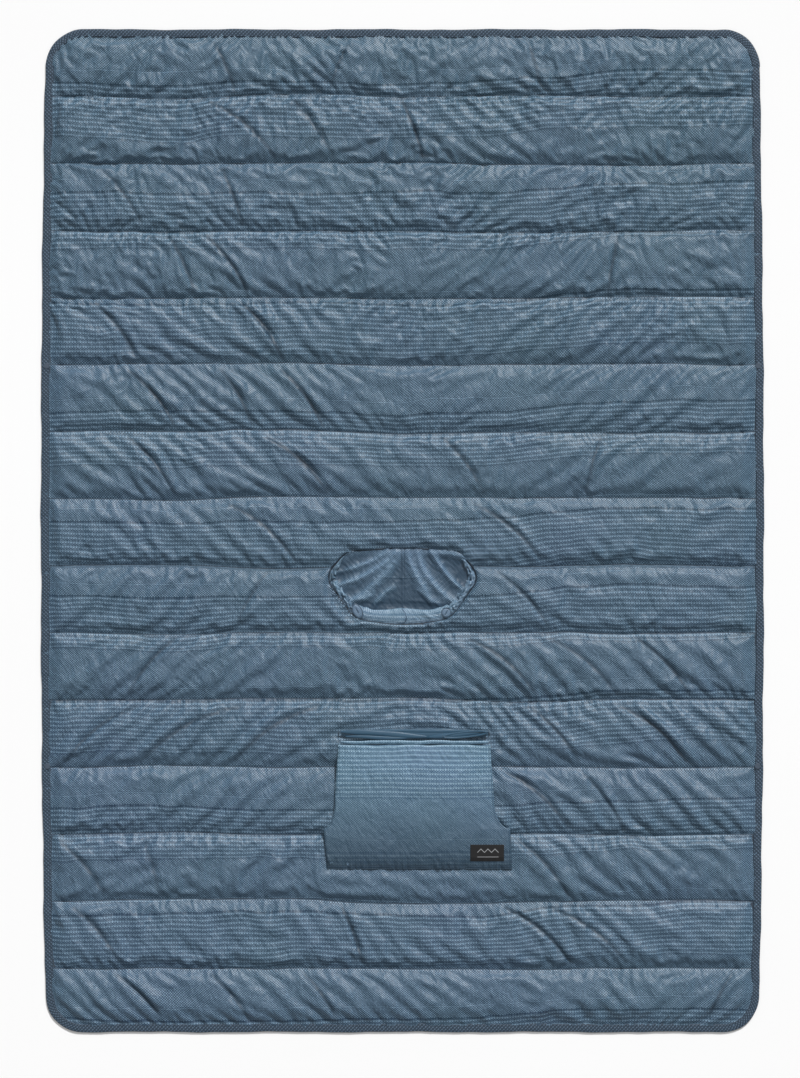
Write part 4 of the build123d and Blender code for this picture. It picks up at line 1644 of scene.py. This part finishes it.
# The pocket panel gets painted shade towards its sewn bottom edge, where it slopes away from the light.
pocket_paint = print_paint(
    "pocket_print", srgb(53, 88, 112), srgb(153, 184, 204), 1.15,
    painted_shade_span=(pocket_high[1] - 0.03, pocket_low[1]),
)
liner_paint = plain_paint("liner_cloth", srgb(37, 68, 90), srgb(48, 85, 109), 0.32, 0.5, crease=0.15)
label_paint = label_cloth()
pocket_thread = thread_paint("pocket_thread", srgb(34, 54, 72))
make_neck_edge()
make_hood_cloth()
make_patches(make_hood_hem())
make_panel()
make_liner()
make_lip()
make_pocket_hem()
make_label()
make_pocket_stitches()


# ---------------------------------------------------------------- snaps
def snap_paint():
    """Moulded plastic with a faint speckle and small scuffs."""
    paint = Paint("snap_plastic", roughness=0.38, specular=0.5)
    u, v, _ = paint.solid()
    paint.colour(mix(noise(u, v, 0.004, 2), srgb(48, 62, 78), srgb(62, 78, 95)))
    paint.roughness(noise(u, v, 0.0012, 2) * 0.2 + 0.3)
    paint.relief((noise(u, v, 0.0009, 2), 0.00005, 0.5))
    return paint.material


snap_material = snap_paint()
for name, node in frame["nodes"].items():
    if "_snap_" in name:
        node.data.materials.clear()
        node.data.materials.append(snap_material)


# ---------------------------------------------------------------- floor, lights and camera
floor_half = 9.0


def make_floor():
    corners = floor_half * np.array([(-1, -1, 0), (1, -1, 0), (1, 1, 0), (-1, 1, 0)])
    floor = make_mesh("floor", corners, [(0, 1, 2, 3)], corners[:, :2])
    paint = Paint("studio_floor", roughness=0.9, specular=0.1)
    u, v = paint.cloth()
    paint.colour(mix(noise(u, v, 0.8, 2), grey(0.90), grey(0.92)))
    floor.data.materials.append(paint.material)
    floor.location.z = -0.0005


key_from = (0.27, 0.78, 0.60)
key_strength = 3.3
key_softness = 7
top_from = (0, 0.3, 6.0)
top_size = 5.0
top_power = 90
sky_strength = 0.26


def add_light(name, kind, power, place, aim):
    """A light at a place that shines against the direction aim."""
    data = bpy.data.lights.new(name, kind)
    data.energy = power
    light = bpy.data.objects.new(name, data)
    light.location = place
    light.rotation_euler = Vector(aim).to_track_quat("Z", "Y").to_euler()
    bpy.context.scene.collection.objects.link(light)
    return data


def make_lights():
    key = add_light("key", "SUN", key_strength, (0, 0, 0), key_from)
    key.angle = math.radians(key_softness)
    top = add_light("top", "AREA", top_power, top_from, top_from)
    top.shape = "RECTANGLE"
    top.size = top.size_y = top_size
    world = bpy.data.worlds.new("studio")
    world.use_nodes = True
    background = world.node_tree.nodes["Background"]
    background.inputs[0].default_value = grey(1)
    background.inputs[1].default_value = sky_strength
    bpy.context.scene.world = world


camera_height = 7.0
view_height = 2.150
camera_shift = (-0.005, -0.0165)


def make_camera():
    """Straight down, from far enough for nearly parallel lines."""
    data = bpy.data.cameras.new("camera")
    data.sensor_fit = "VERTICAL"
    data.sensor_height = 24
    data.lens = data.sensor_height * camera_height / view_height
    data.clip_end = 60
    camera = bpy.data.objects.new("camera", data)
    camera.location = (*camera_shift, camera_height)
    bpy.context.scene.collection.objects.link(camera)
    bpy.context.scene.camera = camera


make_floor()
make_lights()
make_camera()
bpy.context.scene.view_settings.view_transform = "Standard"
